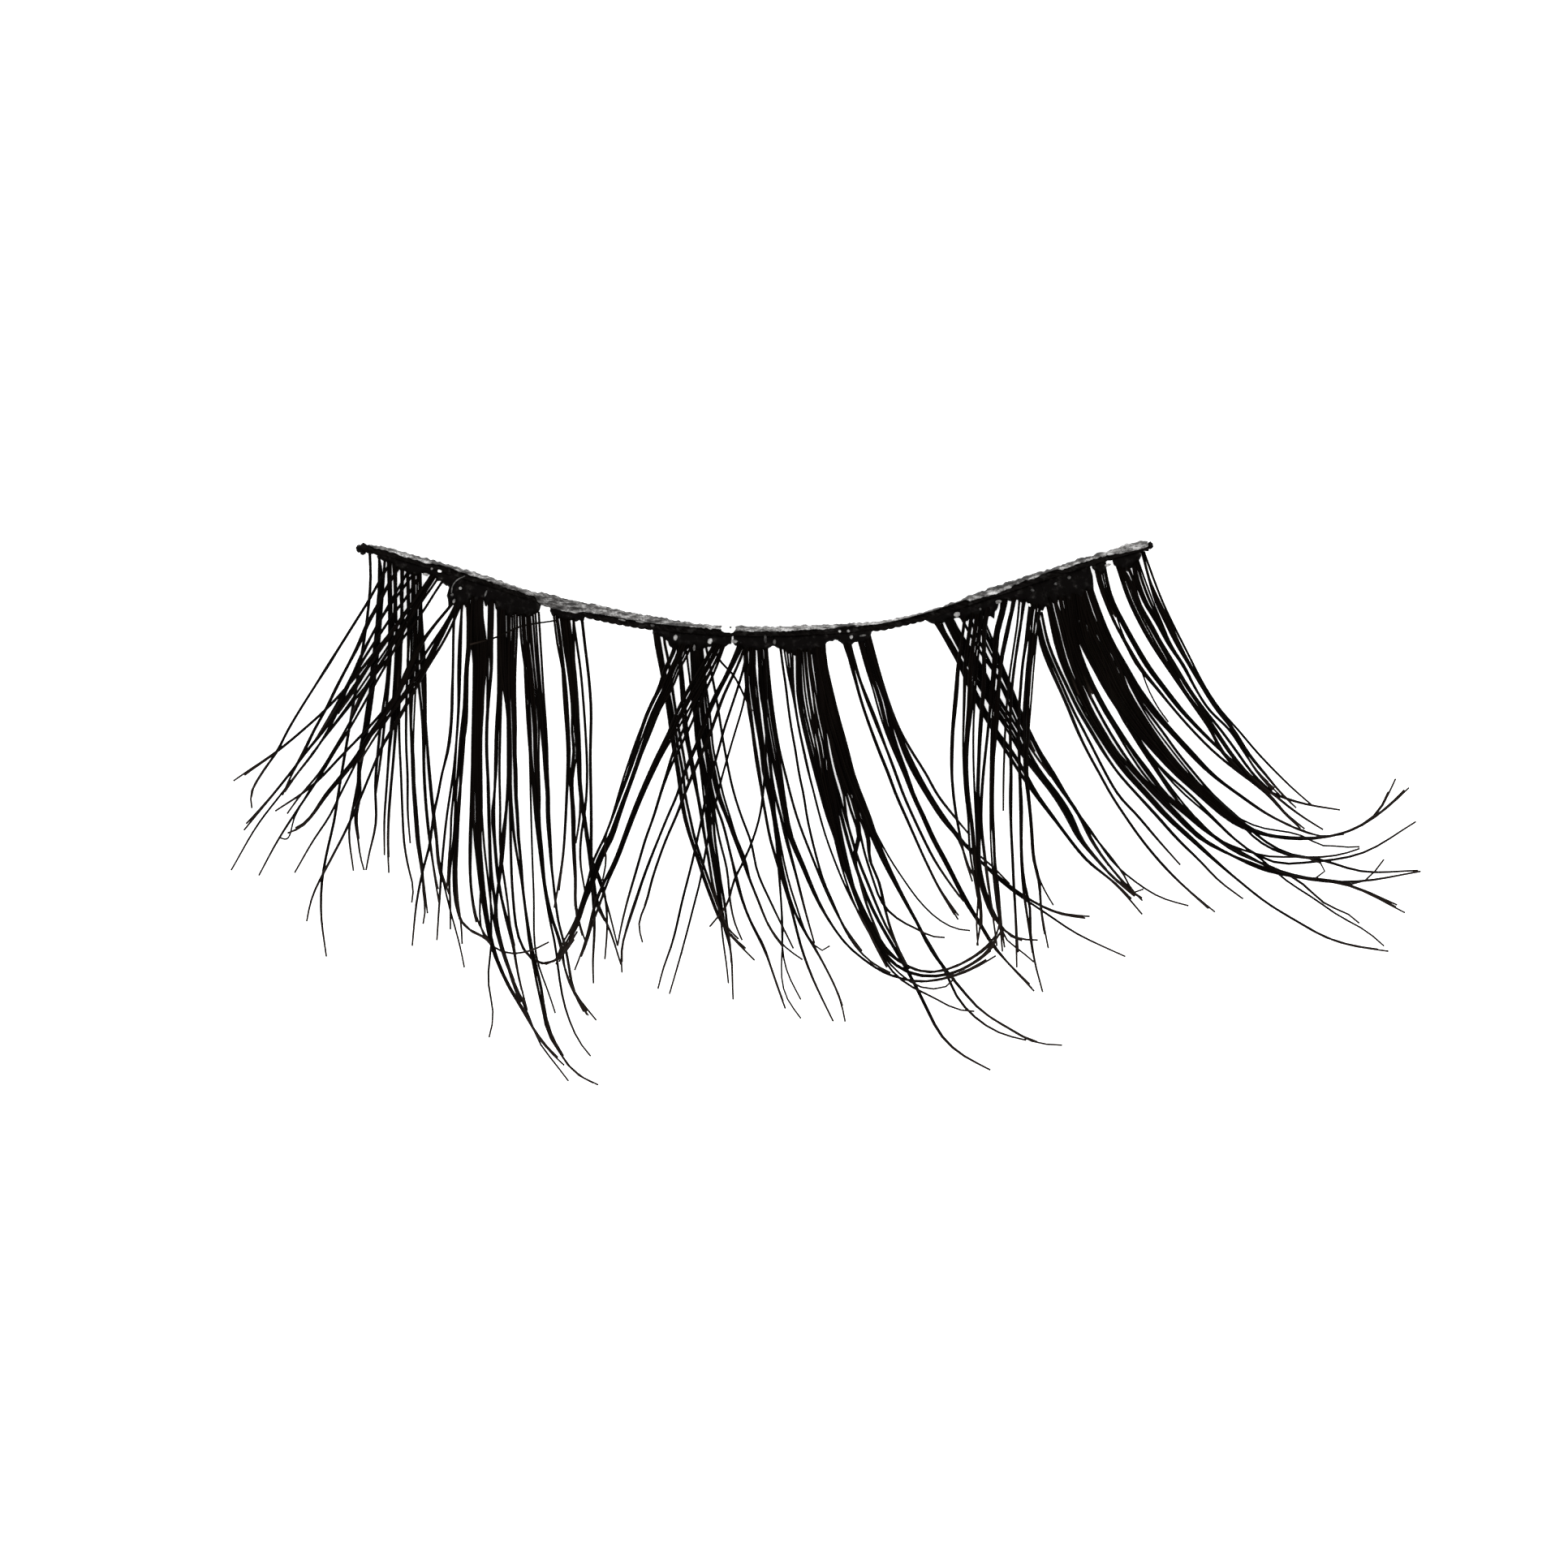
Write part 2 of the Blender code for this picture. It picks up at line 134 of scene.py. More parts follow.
# A tuft is a group of hairs on one path: its layer, how many hairs, how thick a hair is in mm,
# and the path from cuff to tip. A path's third number is how wide the tuft is there, in percent
# of the chord, and a point without it takes the width between its neighbours. Ragged is how much
# shorter than the path its hairs can be, as a share.
Tuft = namedtuple("Tuft", "layer hairs width path ragged", defaults=(0.14,))

TUFTS = {
    "left_corner": [
        Tuft(0, 1, .10, [(1.4, 1), (1.5, 6), (1.3, 10), (.8, 16), (0, 23), (-.9, 31), (-1.7, 38),
            (-2.6, 46), (-3.1, 51), (-3.9, 56), (-4.6, 62), (-4.7, 68), (-4, 76)]),
        Tuft(0, 3, .10, [(2.6, 2, .3), (2.7, 10, .8), (2.5, 14, .7), (2.2, 18, .8), (1.8, 22, .9),
            (1.6, 26, .8), (1.1, 30, .8), (.7, 34, .7), (.2, 38, .8), (0, 42, .6), (0, 46, .8),
            (-.4, 50, .6), (-.1, 54, .5), (.3, 58, .2), (.7, 60, .2)]),
        Tuft(0, 1, .10, [(3.3, 2), (3.0, 10), (2.6, 18), (2, 25), (1.3, 32), (.3, 40), (-.7, 48),
            (-1.2, 52), (-.6, 60.1)]),
        Tuft(0, 1, .10, [(3.7, 2), (3.8, 10), (3.8, 18), (3.5, 25), (2.8, 32), (2.4, 38),
            (2.1, 44), (2.2, 51.5), (1.3, 57.5), (1, 60)]),
        Tuft(0, 1, .10, [(4.0, 2), (4.1, 18), (3.7, 26), (3.2, 33), (2.8, 39), (2.2, 46)]),
        Tuft(0, 2, .10, [(4.7, 2.5, .1), (4.75, 12, .2), (4.85, 18, .5), (4.6, 26, .6),
            (4.4, 30, .6), (4.1, 34, .5), (3.8, 38, .4), (3.6, 42, .3), (3.4, 46, .2), (3.2, 50),
            (3.2, 57.2, .2)]),
        Tuft(0, 2, .10, [(5.4, 2.5, .1), (5.4, 12, .2), (5.15, 20, .6), (4.9, 28, .5),
            (4.7, 33, .4), (4.4, 39, .3), (4.1, 44, .2), (3.8, 50), (3.7, 56), (3.8, 60.5, .2)]),
        Tuft(0, 1, .09, [(5.6, 3), (5.4, 18), (5.2, 26), (5.1, 34), (5.3, 42), (5.5, 50),
            (5.7, 55), (6.5, 61), (6.9, 63), (6.7, 66)]),
        Tuft(0, 1, .10, [(6.1, 3), (6.2, 18), (6.0, 30), (6.0, 36), (6.2, 43), (6.2, 49),
            (6.5, 55)]),
        Tuft(0, 2, .10, [(6.9, 3, .5), (6.8, 20, .6), (6.6, 28, .5), (6.6, 34, .3), (6.8, 38, .5),
            (7.0, 46), (7.2, 50, .5), (7.5, 55, .6), (8.0, 60, .5), (8.3, 65, .3), (8.6, 67, .3),
            (8.4, 70, .2)]),
        Tuft(0, 3, .10, [(7.7, 3.5, .4), (7.75, 12, .5), (7.75, 16, .7), (7.8, 22, 1.2),
            (7.9, 26, 1.0), (8.1, 30, .8), (8.2, 34, .6), (8.2, 40, .3), (8.4, 46), (8.7, 51),
            (9.3, 58), (9.7, 62, .3), (10.2, 66, .2)]),
        Tuft(0, 2, .10, [(7.8, 3.5, .2), (7.75, 12, .3), (8.1, 20, .6), (8.3, 30, .4),
            (8.7, 38, .3), (9.2, 46, .3), (9.8, 54, .4), (10.1, 59, .4), (11.2, 64.5, .3)]),
        Tuft(0, 1, .08, [(7.8, 4), (7.9, 12), (8.4, 24), (8.5, 34), (9.4, 50), (10.4, 60),
            (11.3, 66), (12.9, 75), (13.3, 78)]),
        Tuft(0, 1, .08, [(7.4, 4), (7.2, 24), (6.9, 40), (7.4, 50), (7.8, 57), (8.2, 62),
            (8.7, 68)]),
        Tuft(1, 2, .10, [(4.6, 1.5, .3), (3.5, 4), (1.2, 10), (-.5, 14), (-2.2, 18, .3),
            (-3.9, 22, .5), (-5.6, 26, .3), (-7.3, 30), (-8.9, 34, .3), (-10.3, 38, .5),
            (-12.2, 42, .3), (-13.7, 46, .3), (-13.6, 48.5, .2)]),
        Tuft(1, 2, .10, [(6, 2, .3), (4.5, 5, .4), (2.3, 11, .5), (1.0, 14.5, .6), (0, 18, .6),
            (-1.4, 22, .4), (-2.8, 26, .5), (-4.1, 30, .4), (-5.6, 34, .4), (-6.9, 38, .6),
            (-8.4, 42, .5), (-9.7, 46, .4)]),
        Tuft(1, 1, .10, [(7.6, 3.5), (6.6, 5.6), (5.7, 7.5), (4.3, 10.2), (3, 13), (1.8, 16),
            (.6, 19.5), (-.6, 23), (-2.2, 27.5), (-3.9, 32), (-5.6, 36.2)]),
        Tuft(1, 1, .10, [(7.6, 5.5), (7.2, 6.5), (6, 9.4), (4.4, 12.5), (2.9, 15.8), (1.2, 19.6),
            (-.6, 24), (-2.5, 29), (-4.6, 33.6)]),
        Tuft(1, 1, .10, [(7.8, 7.6), (7.3, 9), (6, 11.7), (4.4, 15), (2.8, 18.4), (1.2, 22.2),
            (-.5, 26.4), (-2.6, 31)]),
        Tuft(1, 1, .10, [(9.2, 5), (8.6, 6.5), (8, 8.1), (7.3, 10), (5.7, 14.2), (4, 18.6),
            (2.4, 22.4), (.6, 26.6), (-1, 31.5)]),
        Tuft(0, 1, .10, [(2.5, 1.5), (2.9, 5), (2.5, 9), (2.3, 14), (1.9, 19), (1.5, 24)]),
        Tuft(0, 1, .10, [(4.3, 2.2), (4.6, 8), (4.5, 13), (4.1, 19)]),
        Tuft(0, 1, .10, [(6.2, 4), (6.3, 10), (6.4, 16), (6.2, 21), (6.1, 25)]),
        Tuft(0, 1, .10, [(5.6, 4), (5.3, 9), (5.6, 14), (5.2, 20), (4.9, 27)]),
        Tuft(1, 1, .09, [(7, 2.5), (4.5, 9), (2, 15.5), (.5, 19.5), (-1.4, 26), (-2.5, 30),
            (-3.9, 34), (-5.7, 38.2), (-7.8, 42.2), (-9.3, 45.5)]),
        Tuft(1, 2, .10, [(10.5, 3.5, .2), (9.5, 5, .3), (5.5, 13, .4), (1.5, 20.5, .5),
            (-1.2, 25.5, .4), (-4.0, 30), (-7.0, 34), (-10.3, 38, .4), (-14.1, 42, .3),
            (-15.6, 43.7, .2)]),
        Tuft(1, 2, .10, [(9.5, 4.5, .3), (6, 12, .4), (1, 22.5, .5), (-.7, 26, .5), (-2.5, 30, .4),
            (-4.4, 34, .6), (-6.6, 38, .5), (-8.6, 42, .4), (-10.8, 46, .3), (-14.5, 52.5, .2)]),
        Tuft(1, 1, .09, [(9.6, 4.8), (6, 13.4), (1, 24.5), (-1.6, 30), (-3.7, 34), (-5.7, 38),
            (-7.8, 42), (-9.9, 46), (-12.5, 51), (-16, 60)]),
        Tuft(1, 1, .10, [(9.9, 4.8), (9, 7), (8, 9.3), (7.3, 11), (5, 17.8), (.7, 29), (-1.3, 34),
            (-3.1, 38), (-4.7, 42), (-6.5, 46), (-8.3, 50), (-10, 54), (-12.5, 61)]),
        Tuft(1, 1, .09, [(10.3, 5), (9.3, 7.3), (8, 10), (7.3, 11.6), (5, 16.6), (.6, 27.5),
            (-1.3, 33), (-3.1, 37.5), (-5, 42), (-7.3, 46), (-9, 49.5)]),
        Tuft(1, 1, .09, [(10.9, 5.6), (9.8, 8), (8.1, 12), (7.3, 13.6), (3, 22), (-2, 31),
            (-6, 38.5)]),
        Tuft(1, 3, .10, [(12.6, 8.5, .4), (11.9, 10.2), (9.8, 14, .4), (7.8, 18, .6),
            (6.3, 22.5, .7), (4.5, 28.5), (1.8, 34, .7), (0, 38.5, .8), (-2.1, 42.5, .8),
            (-4.1, 46, .7), (-6, 50, .4), (-7.4, 52, .2), (-9, 52.8, .2)]),
        Tuft(1, 1, .11, [(12.8, 9), (11.1, 13.8), (9.3, 17.8), (7.7, 21.3), (2.5, 31.5),
            (-2, 38.5), (-6, 44.5), (-10.5, 49)]),
        Tuft(1, 2, .10, [(12.9, 9.5), (11.5, 13.5, .3), (9.8, 17.5, .4), (8.2, 22), (6.2, 26.2),
            (4.2, 30.6, .4), (2, 35.4, .3), (.2, 40, .2)]),
        Tuft(1, 1, .10, [(12.8, 9.5), (10.1, 18), (7.5, 24.6), (4, 31), (.8, 36.5), (-.7, 41),
            (-2.4, 46), (-3.7, 50), (-5.5, 54), (-8, 60.5)]),
        Tuft(1, 2, .10, [(13, 10, .3), (11.9, 14), (10.5, 18), (8.8, 22, .3), (7.1, 26.4, .4),
            (5.2, 31.4, .5), (2.9, 37.2, .4), (1.5, 42, .3), (.4, 46, .3), (-.8, 50, .4),
            (-2.1, 54, .4), (-3.5, 58, .3), (-6, 66, .2), (-6.4, 69.5, .2)]),
        Tuft(1, 1, .07, [(-4.5, 41.5), (-6.6, 46), (-8, 50), (-9.3, 54.3), (-9.9, 54.0)]),
    ],
    "left_fan": [
        Tuft(1, 2, .10, [(12.4, 8, .4), (12.0, 14, .3), (11.9, 22, .2), (11.8, 27, .4),
            (11.7, 32, .4), (11.2, 38, .5), (10.5, 42, .3), (10, 46), (9.4, 50, .3), (9, 55, .2),
            (8.1, 60), (7.4, 65), (6.6, 74, .2)]),
        Tuft(1, 1, .10, [(13, 9), (12.8, 22), (12.6, 30), (12.3, 36), (11.9, 42), (11.5, 46),
            (11.1, 50), (10.8, 54), (10.5, 59), (10.2, 66), (9.9, 73)]),
        Tuft(1, 2, .10, [(13.4, 9, .8), (13.2, 18, 1.4), (13, 23, 1.2), (12.9, 30, 1.0),
            (12.6, 35, .8), (12.3, 42, .7), (12.1, 46, .6), (11.9, 50, .8), (11.8, 54, .7),
            (11.5, 58, .6), (11.3, 62, .5), (11.2, 66, .9), (11.4, 71, .3)]),
        Tuft(1, 2, .10, [(14.1, 8.6, .7), (14, 14, .6), (13.95, 18, .6), (13.7, 22, .4),
            (13.6, 26, .5), (13.4, 34, .5), (13, 38, .3), (12.8, 46), (12.6, 50, .3),
            (12.4, 55, .4), (12.3, 60, .3), (12.5, 66), (12.9, 70, .3), (13, 73.7, .2)]),
        Tuft(1, 2, .10, [(13.8, 10), (13.6, 28, .2), (13, 42), (12.2, 54), (12, 61), (12.2, 66),
            (13, 69.8), (14.5, 71.8, .2), (15.6, 72.3, .1), (16.6, 73.6)], .03),
        Tuft(0, 9, .11, [(14.9, 8.6, 1.7), (14.95, 14, 1.7), (15.2, 18, 2.2), (15.35, 22, 1.9),
            (15.15, 26, 1.5), (15.05, 30, 1.6), (14.95, 34, 1.4), (14.9, 42, 1.5), (14.95, 46),
            (15.0, 50, 1.5), (14.95, 54, 1.1), (15.2, 58, 1.0), (15.45, 62, .9), (15.8, 66, .8),
            (16.25, 70, .7), (16.8, 74, .7), (17.8, 78, .6), (19.1, 82, .6), (20.8, 86, .7),
            (22.3, 90, .4), (24, 93.3, .3), (26, 96, .2)]),
        Tuft(0, 2, .10, [(14.5, 10, .3), (14.5, 26), (14.3, 38, .3), (14.15, 50, .4),
            (14.05, 56, .4), (14.1, 62, .3), (14.4, 66, .3), (15, 70, .2), (16.4, 73.6, .2)]),
        Tuft(0, 1, .09, [(15.4, 10), (15.5, 50), (15.8, 56), (16.3, 62), (16.8, 68), (18, 75),
            (19.6, 81), (21.5, 87), (23, 92.5), (24.4, 95), (26.5, 99)]),
        Tuft(0, 3, .10, [(16.7, 8.4, .7), (16.65, 14, .7), (16.6, 18, .6), (16.75, 22, .3),
            (16.5, 26), (16.2, 31), (16.1, 38), (16.3, 44), (16.4, 50), (16.5, 54), (16.6, 58),
            (16.8, 62), (17.2, 66, .3), (17.3, 70, .8), (18, 74, .5), (18.9, 78, .4),
            (19.8, 82, .4), (20.9, 85, .3)]),
        Tuft(0, 2, .10, [(17.6, 9, .4), (17.7, 22, .5), (17.7, 27), (17.4, 34), (17.3, 40, .5),
            (17.1, 46, .3), (16.9, 50, .6), (17.1, 54, .4), (17.3, 58), (17.6, 62, .4),
            (18.1, 66, .3), (18.8, 70, .5), (19.5, 74, .4), (19.9, 78, .3), (20.5, 82, .3),
            (21.2, 86, .2)]),
        Tuft(0, 1, .10, [(18, 9), (18, 22), (17.8, 34), (17.7, 42), (17.8, 48), (17.9, 57),
            (18.4, 62), (18.8, 66), (19.1, 70), (19.7, 74)]),
        Tuft(0, 3, .10, [(18.2, 10, .6), (18.1, 18, 1.0), (18.2, 23, .9), (18.7, 30, .4),
            (18.8, 38, .3), (18.7, 46, .4), (18.5, 50, .4), (18.2, 54, .7), (18, 58, .6),
            (17.7, 62, .4), (17.3, 66, .4), (17.4, 70, .5), (18, 74, .5), (18.9, 78, .4),
            (19.8, 82, .4)]),
        Tuft(0, 5, .11, [(19.2, 10, 1.6), (19.4, 14, 1.5), (19.3, 18, 1.5), (19.2, 24, 1.4),
            (19.3, 30, 1.3), (19.4, 34, 1.3), (19.4, 38, 1.1), (19.5, 42, 1.4), (19.5, 46, 1.3),
            (19.75, 50, 1.3), (19.9, 54, 1.1), (20.3, 58, .9), (20.6, 62, .5), (20.9, 66, .4),
            (21.3, 70, .5), (21.7, 74, .6), (22.3, 78, .7), (22.9, 82, .9), (23.4, 86, .5),
            (24, 90, .8), (25.6, 94, .4), (27, 97, .3), (30.3, 99.4, .2)]),
        Tuft(0, 3, .10, [(19, 11, .3), (19, 40), (19.1, 50, .3), (19.2, 58, .2), (19.3, 62),
            (19.5, 66), (19.9, 71, .2), (20.7, 74.6, .3), (22.2, 77), (23.8, 77.6),
            (25.6, 75.8, .3), (27.6, 71.4, .2)], .03),
        Tuft(0, 5, .11, [(20.9, 12, 1.6), (21.1, 18, 1.5), (21.5, 22, 1.5), (21.9, 28, 1.3),
            (22.2, 34, 1.4), (22.2, 38, 1.3), (22.35, 42, 1.1), (22.6, 46, .9), (22.6, 50, .8),
            (22.9, 54, .6), (23.2, 58, .4), (23.4, 62, .3), (23.9, 66, .5), (24.6, 70, .5),
            (25.6, 74, .7), (25.9, 78, .4), (26.9, 82, .3), (29.8, 88, .2)]),
        Tuft(0, 4, .11, [(22.1, 12, 1.5), (22.4, 18, 1.4), (22.6, 22, 1.4), (23, 28, 1.2),
            (23.4, 34, 1.1), (23.6, 38, 1.0), (23.7, 42, .9), (23.9, 46, .8), (23.9, 50, .9),
            (24.1, 54, .8), (24.25, 58, .6), (24.5, 62, .3), (24.8, 66, .3), (25.2, 70, .4),
            (26, 74, .6), (26.5, 78, .4), (26.9, 82, .3), (28.5, 87, .2)]),
        Tuft(0, 1, .09, [(20.8, 12), (21, 24), (21.3, 32), (21.6, 38), (22, 44), (22.3, 50),
            (22.7, 55), (23.4, 63), (24.2, 70), (24.8, 74), (25.1, 78), (26.2, 86.5), (28.3, 93),
            (29.2, 94.5)]),
        Tuft(0, 1, .08, [(16.4, 10), (16.2, 40), (16.6, 66), (16.7, 74), (16.3, 80), (17, 88),
            (16.5, 91)]),
        Tuft(0, 1, .09, [(15.6, 10), (15, 40), (15.4, 60), (16.6, 74), (18.5, 75.5), (21.8, 75),
            (24, 73.4)]),
        Tuft(0, 1, .08, [(21.4, 12), (21.6, 40), (22, 64), (22.5, 77), (24, 83), (24.8, 86.5)]),
    ],
    "left_wisp": [
        Tuft(1, 6, .11, [(25.5, 12.5, 2.2), (25.9, 18, 2.1), (26.3, 22, 1.8), (26.6, 26, 1.8),
            (26.8, 30, 1.7), (26.8, 34, 1.2), (27.1, 38, 1.5), (26.8, 42, .9), (26.9, 46, .6),
            (27.1, 50, .7), (27.1, 54, .6), (27.2, 58, .6), (27.35, 62, .5), (27.3, 66, .5),
            (27.7, 70, .6), (28.4, 74, .7)]),
        Tuft(1, 2, .10, [(25, 13, .3), (25.6, 20, .4), (26, 28, .5), (26.4, 38, .4),
            (26.2, 46, .3), (26, 52), (25.7, 58, .3), (25.2, 63, .2), (24.8, 67, .2)]),
        Tuft(1, 2, .10, [(26.4, 13, .4), (27, 20, .5), (27.5, 29, .6), (27.7, 36, .5), (27.8, 42),
            (28, 46), (28.4, 50), (28.8, 54, .5), (29.4, 60, .8), (30, 66, 1.0), (31.6, 71, .6),
            (33, 77.5, .3)]),
        Tuft(1, 1, .09, [(25.9, 13), (27, 26), (27.6, 36), (28.3, 48), (29.1, 57), (30.8, 63),
            (31.3, 70), (31, 76.5)]),
        Tuft(1, 1, .09, [(26, 13), (27.2, 33), (28.6, 52), (29.8, 60), (31.2, 66), (32.6, 74)]),
        Tuft(1, 1, .10, [(27, 13), (27.5, 18), (27.9, 22), (28.4, 30), (28.7, 37), (28.8, 42),
            (28.6, 48), (28, 54), (27.9, 58), (28.5, 64)]),
        Tuft(1, 1, .10, [(27.1, 13), (27.1, 17), (27.3, 24), (27.8, 34), (27.9, 44), (27.8, 50),
            (27.3, 55)]),
        Tuft(1, 1, .11, [(28.1, 13), (28.5, 18), (29, 24), (29.3, 30), (29.2, 38), (29.3, 50),
            (29.3, 60), (29.7, 71), (29.5, 78), (29.6, 81)]),
        Tuft(2, 1, .07, [(25.2, 13.5), (24.5, 13.7), (20, 15), (17.5, 16.6), (14, 18)]),
    ],
    "mid_left": [
        Tuft(0, 2, .10, [(38.4, 15, .2), (38.55, 18, .3), (38.85, 20), (39.3, 24), (39.65, 28),
            (40.2, 33), (40.9, 38.5, .3), (41.6, 44, .2)]),
        Tuft(2, 7, .11, [(41.2, 16, 2.8), (40.4, 20, 2.3), (39.5, 22.5, 2.3), (38.7, 26, 2.1),
            (37.3, 30, 1.9), (36.3, 34, 1.9), (35.35, 38, 1.6), (34.4, 42, 1.4), (33.4, 46, 1.3),
            (32.45, 50, 1.3), (31.5, 54, 1.5), (30.1, 58, 1.4), (29.3, 62, 1.2), (28.3, 66, .8),
            (27.4, 70, .9), (25.9, 74, .8), (25, 77.5, .3)]),
        Tuft(2, 1, .09, [(41.6, 16), (38.8, 24), (36, 32), (33.8, 41), (32, 50), (31, 55),
            (31.2, 58), (30.7, 62)]),
        Tuft(2, 5, .11, [(45.8, 16.5, 1.3), (44.3, 21, 1.8), (42.7, 25, 1.9), (41, 29.5, 1.9),
            (39.5, 34, 1.5), (38, 38, 1.2), (36.7, 42, 1.1), (35.5, 46, 1.0), (34.4, 50, 1.0),
            (33.4, 54, .9), (32.4, 58, .9), (31.1, 62, 1.0), (30, 66, 1.3), (29.2, 70, .8),
            (28.4, 74, .7), (27.2, 78.5, .4)]),
        Tuft(2, 2, .10, [(46.3, 17, .4), (44.6, 23, .8), (42.9, 28, 1.0), (41.2, 34, 1.0),
            (39.9, 38, .9), (38.9, 42, .5), (38, 46, .4), (37.2, 50, .4), (36.2, 54, .3),
            (35.4, 58), (34.6, 62), (33.8, 66), (33.1, 70, .3), (32.5, 74, .4)]),
        Tuft(0, 3, .10, [(37.3, 14, .7), (37.7, 18, .9), (38.2, 22, .8), (38.7, 26, .8),
            (39.2, 30, .9), (39.6, 34, 1.0), (40, 38, 1.0), (40.5, 42, 1.1), (40.8, 46, 1.0),
            (41.3, 50, 1.2), (42, 54, 1.0), (42.9, 58, .9), (43.8, 62, 1.0), (44.8, 66, .9),
            (45.9, 70, .9), (48.2, 74, .6), (50, 76.5, .3)]),
        Tuft(0, 2, .10, [(39.8, 14.5, .4), (40.4, 20, .5), (40.9, 28, .6), (41.2, 34, .6),
            (41.7, 38, .5), (42.2, 42, .6), (42.7, 46, .4), (43.2, 50, .5), (43.6, 54, .4),
            (44.1, 58), (44.5, 62), (45.2, 66, .4), (46.2, 70, .5), (48, 72.5, .3)]),
        Tuft(0, 5, .11, [(42.6, 16.5, 1.4), (43.1, 24, 1.4), (43.6, 32, 1.8), (44.2, 38, 1.4),
            (44.9, 42, 1.2), (45.5, 46, 1.2), (46.5, 50, .9), (47.4, 54, .7), (48.5, 58, .8),
            (49.3, 62, .4), (50.4, 66, .3), (51.5, 70), (53.6, 74.5, .3), (55.7, 77, .2)]),
        Tuft(0, 2, .10, [(42.4, 16.5, .5), (43, 26, .6), (43.5, 34, .6), (43.9, 40, .4),
            (44.3, 44, .4), (45, 48, .3), (45.7, 50.5), (46.5, 55), (47, 58, .3), (47.6, 62, .6),
            (48.4, 66, .4), (49.5, 70, .4), (50.9, 74, .6), (52, 78, .3), (53, 82, .2),
            (54, 85.5, .2)]),
        Tuft(0, 3, .10, [(41.9, 16.5, .5), (42.5, 30, .7), (42.8, 37, .6), (43.4, 41, .7),
            (43.9, 45, .6), (44.3, 49, .9), (44.5, 54, 1.1), (45, 58, .9), (45.4, 62, .8),
            (45.8, 66, 1.1), (46.2, 70, .9), (46.8, 74, .5), (47, 84, .2)]),
        Tuft(0, 1, .09, [(42.8, 17), (43.6, 36), (44.6, 47), (45.4, 54), (46.4, 60), (46.8, 66),
            (47.4, 70), (48.3, 73)]),
        Tuft(0, 1, .08, [(41, 16), (42.8, 38), (44.2, 55), (45.4, 66), (46, 74), (46.4, 78),
            (46.6, 81)]),
        Tuft(0, 1, .09, [(43.4, 16), (45, 28), (46.1, 38), (47.3, 46), (48.2, 50), (49.5, 55),
            (50.2, 60), (52, 66), (54.8, 74.5)]),
    ],
    "centre": [
        Tuft(1, 3, .10, [(48.3, 17.5, .9), (47.6, 20, .8), (46.95, 22, .7), (46.3, 24, .6),
            (44.85, 28, .7), (43.7, 32, .6), (42.9, 35.5, .5), (42, 38.5, .5), (41, 42, .4),
            (40.1, 46, .3), (38.9, 50), (37.8, 54, .3), (36.7, 58, .4), (35.7, 62, .4),
            (34.8, 66, .5), (33.9, 70, .5), (33.1, 75, .3), (33.2, 79, .2)]),
        Tuft(1, 2, .10, [(48.9, 17.5, .3), (47.75, 22, .4), (47.1, 24, .3), (45.85, 28, .3),
            (44.9, 32, .2), (43.9, 36), (43, 39, .2), (41.3, 45), (40, 50), (38.8, 54), (37.8, 58),
            (36.9, 62), (36.2, 66), (35.1, 70), (35.5, 73.5)]),
        Tuft(1, 1, .10, [(49.3, 17), (48.4, 23), (46.9, 30), (46, 34), (45.3, 38), (44.5, 42),
            (43.8, 46), (43.3, 50), (42.7, 54), (42.1, 58), (41.4, 62), (40.7, 66), (40.1, 70),
            (39.4, 74), (38.4, 78), (37.7, 82)]),
        Tuft(1, 2, .09, [(49.9, 17, .3), (49, 24), (48.5, 29), (47.5, 34), (46.6, 38.5),
            (45.9, 42), (45.2, 46), (44.6, 50), (44, 54), (43.5, 58, .3), (43, 62, .2), (42.3, 66),
            (41.6, 70), (40.9, 74), (39.3, 83, .2)]),
        Tuft(0, 2, .10, [(48.7, 17, .5), (48.8, 22, .6), (48.9, 26, .5), (49.2, 30, .6),
            (49.6, 34, .4), (49.95, 38, .5), (50.4, 42, .5), (50.8, 46, .3), (51.3, 50),
            (51.8, 54), (52.6, 58, .3), (53.4, 62, .4), (54.3, 66, .3), (55, 70), (55.7, 74, .3),
            (56.6, 78, .4), (57.8, 82, .3), (59.8, 88, .2)]),
        Tuft(0, 3, .10, [(49.6, 17, .8), (49.6, 22, .9), (49.6, 26, .7), (50, 30, .7),
            (50.4, 34, .6), (50.85, 38, .6), (51.2, 42, .8), (51.8, 46, .6), (52.3, 50, .5),
            (52.7, 54, .6), (53.1, 58, .5), (53.7, 62, .5), (54.5, 66, .3), (55.6, 70, .3),
            (57.3, 74, .5), (58.8, 78, .3), (60.2, 82), (61, 85, .3), (61.5, 88, .2)]),
        Tuft(0, 1, .08, [(49.5, 17), (52, 46), (55, 66), (57.2, 73.5), (58.5, 75.2), (59.3, 74)]),
        Tuft(0, 5, .11, [(50.7, 17, 1.4), (51, 22, 1.4), (51.1, 26, 1.6), (51.5, 30, 1.4),
            (51.9, 34), (52.4, 38, 1.4), (52.9, 42, 1.1), (53.35, 46, 1.0), (53.8, 50, .9),
            (54.4, 54), (55.6, 58, .9), (56.7, 62, .8), (57.9, 66, .7), (59.5, 70, .5), (61.5, 74),
            (64, 77, .5), (66, 79, .4), (68, 80, .3), (70, 80.7, .3), (74, 80, .2), (76, 79),
            (78, 77.5), (80, 75.5, .2)]),
        Tuft(0, 2, .10, [(50.4, 17, .3), (51.2, 32, .4), (51.7, 38), (52.1, 43, .4),
            (52.5, 46, .3), (53.2, 50, .4), (53.9, 54, .6), (54.6, 58, .5), (55.3, 62, .4),
            (56, 66, .3), (56.8, 70, .3), (57.6, 73.5, .2)]),
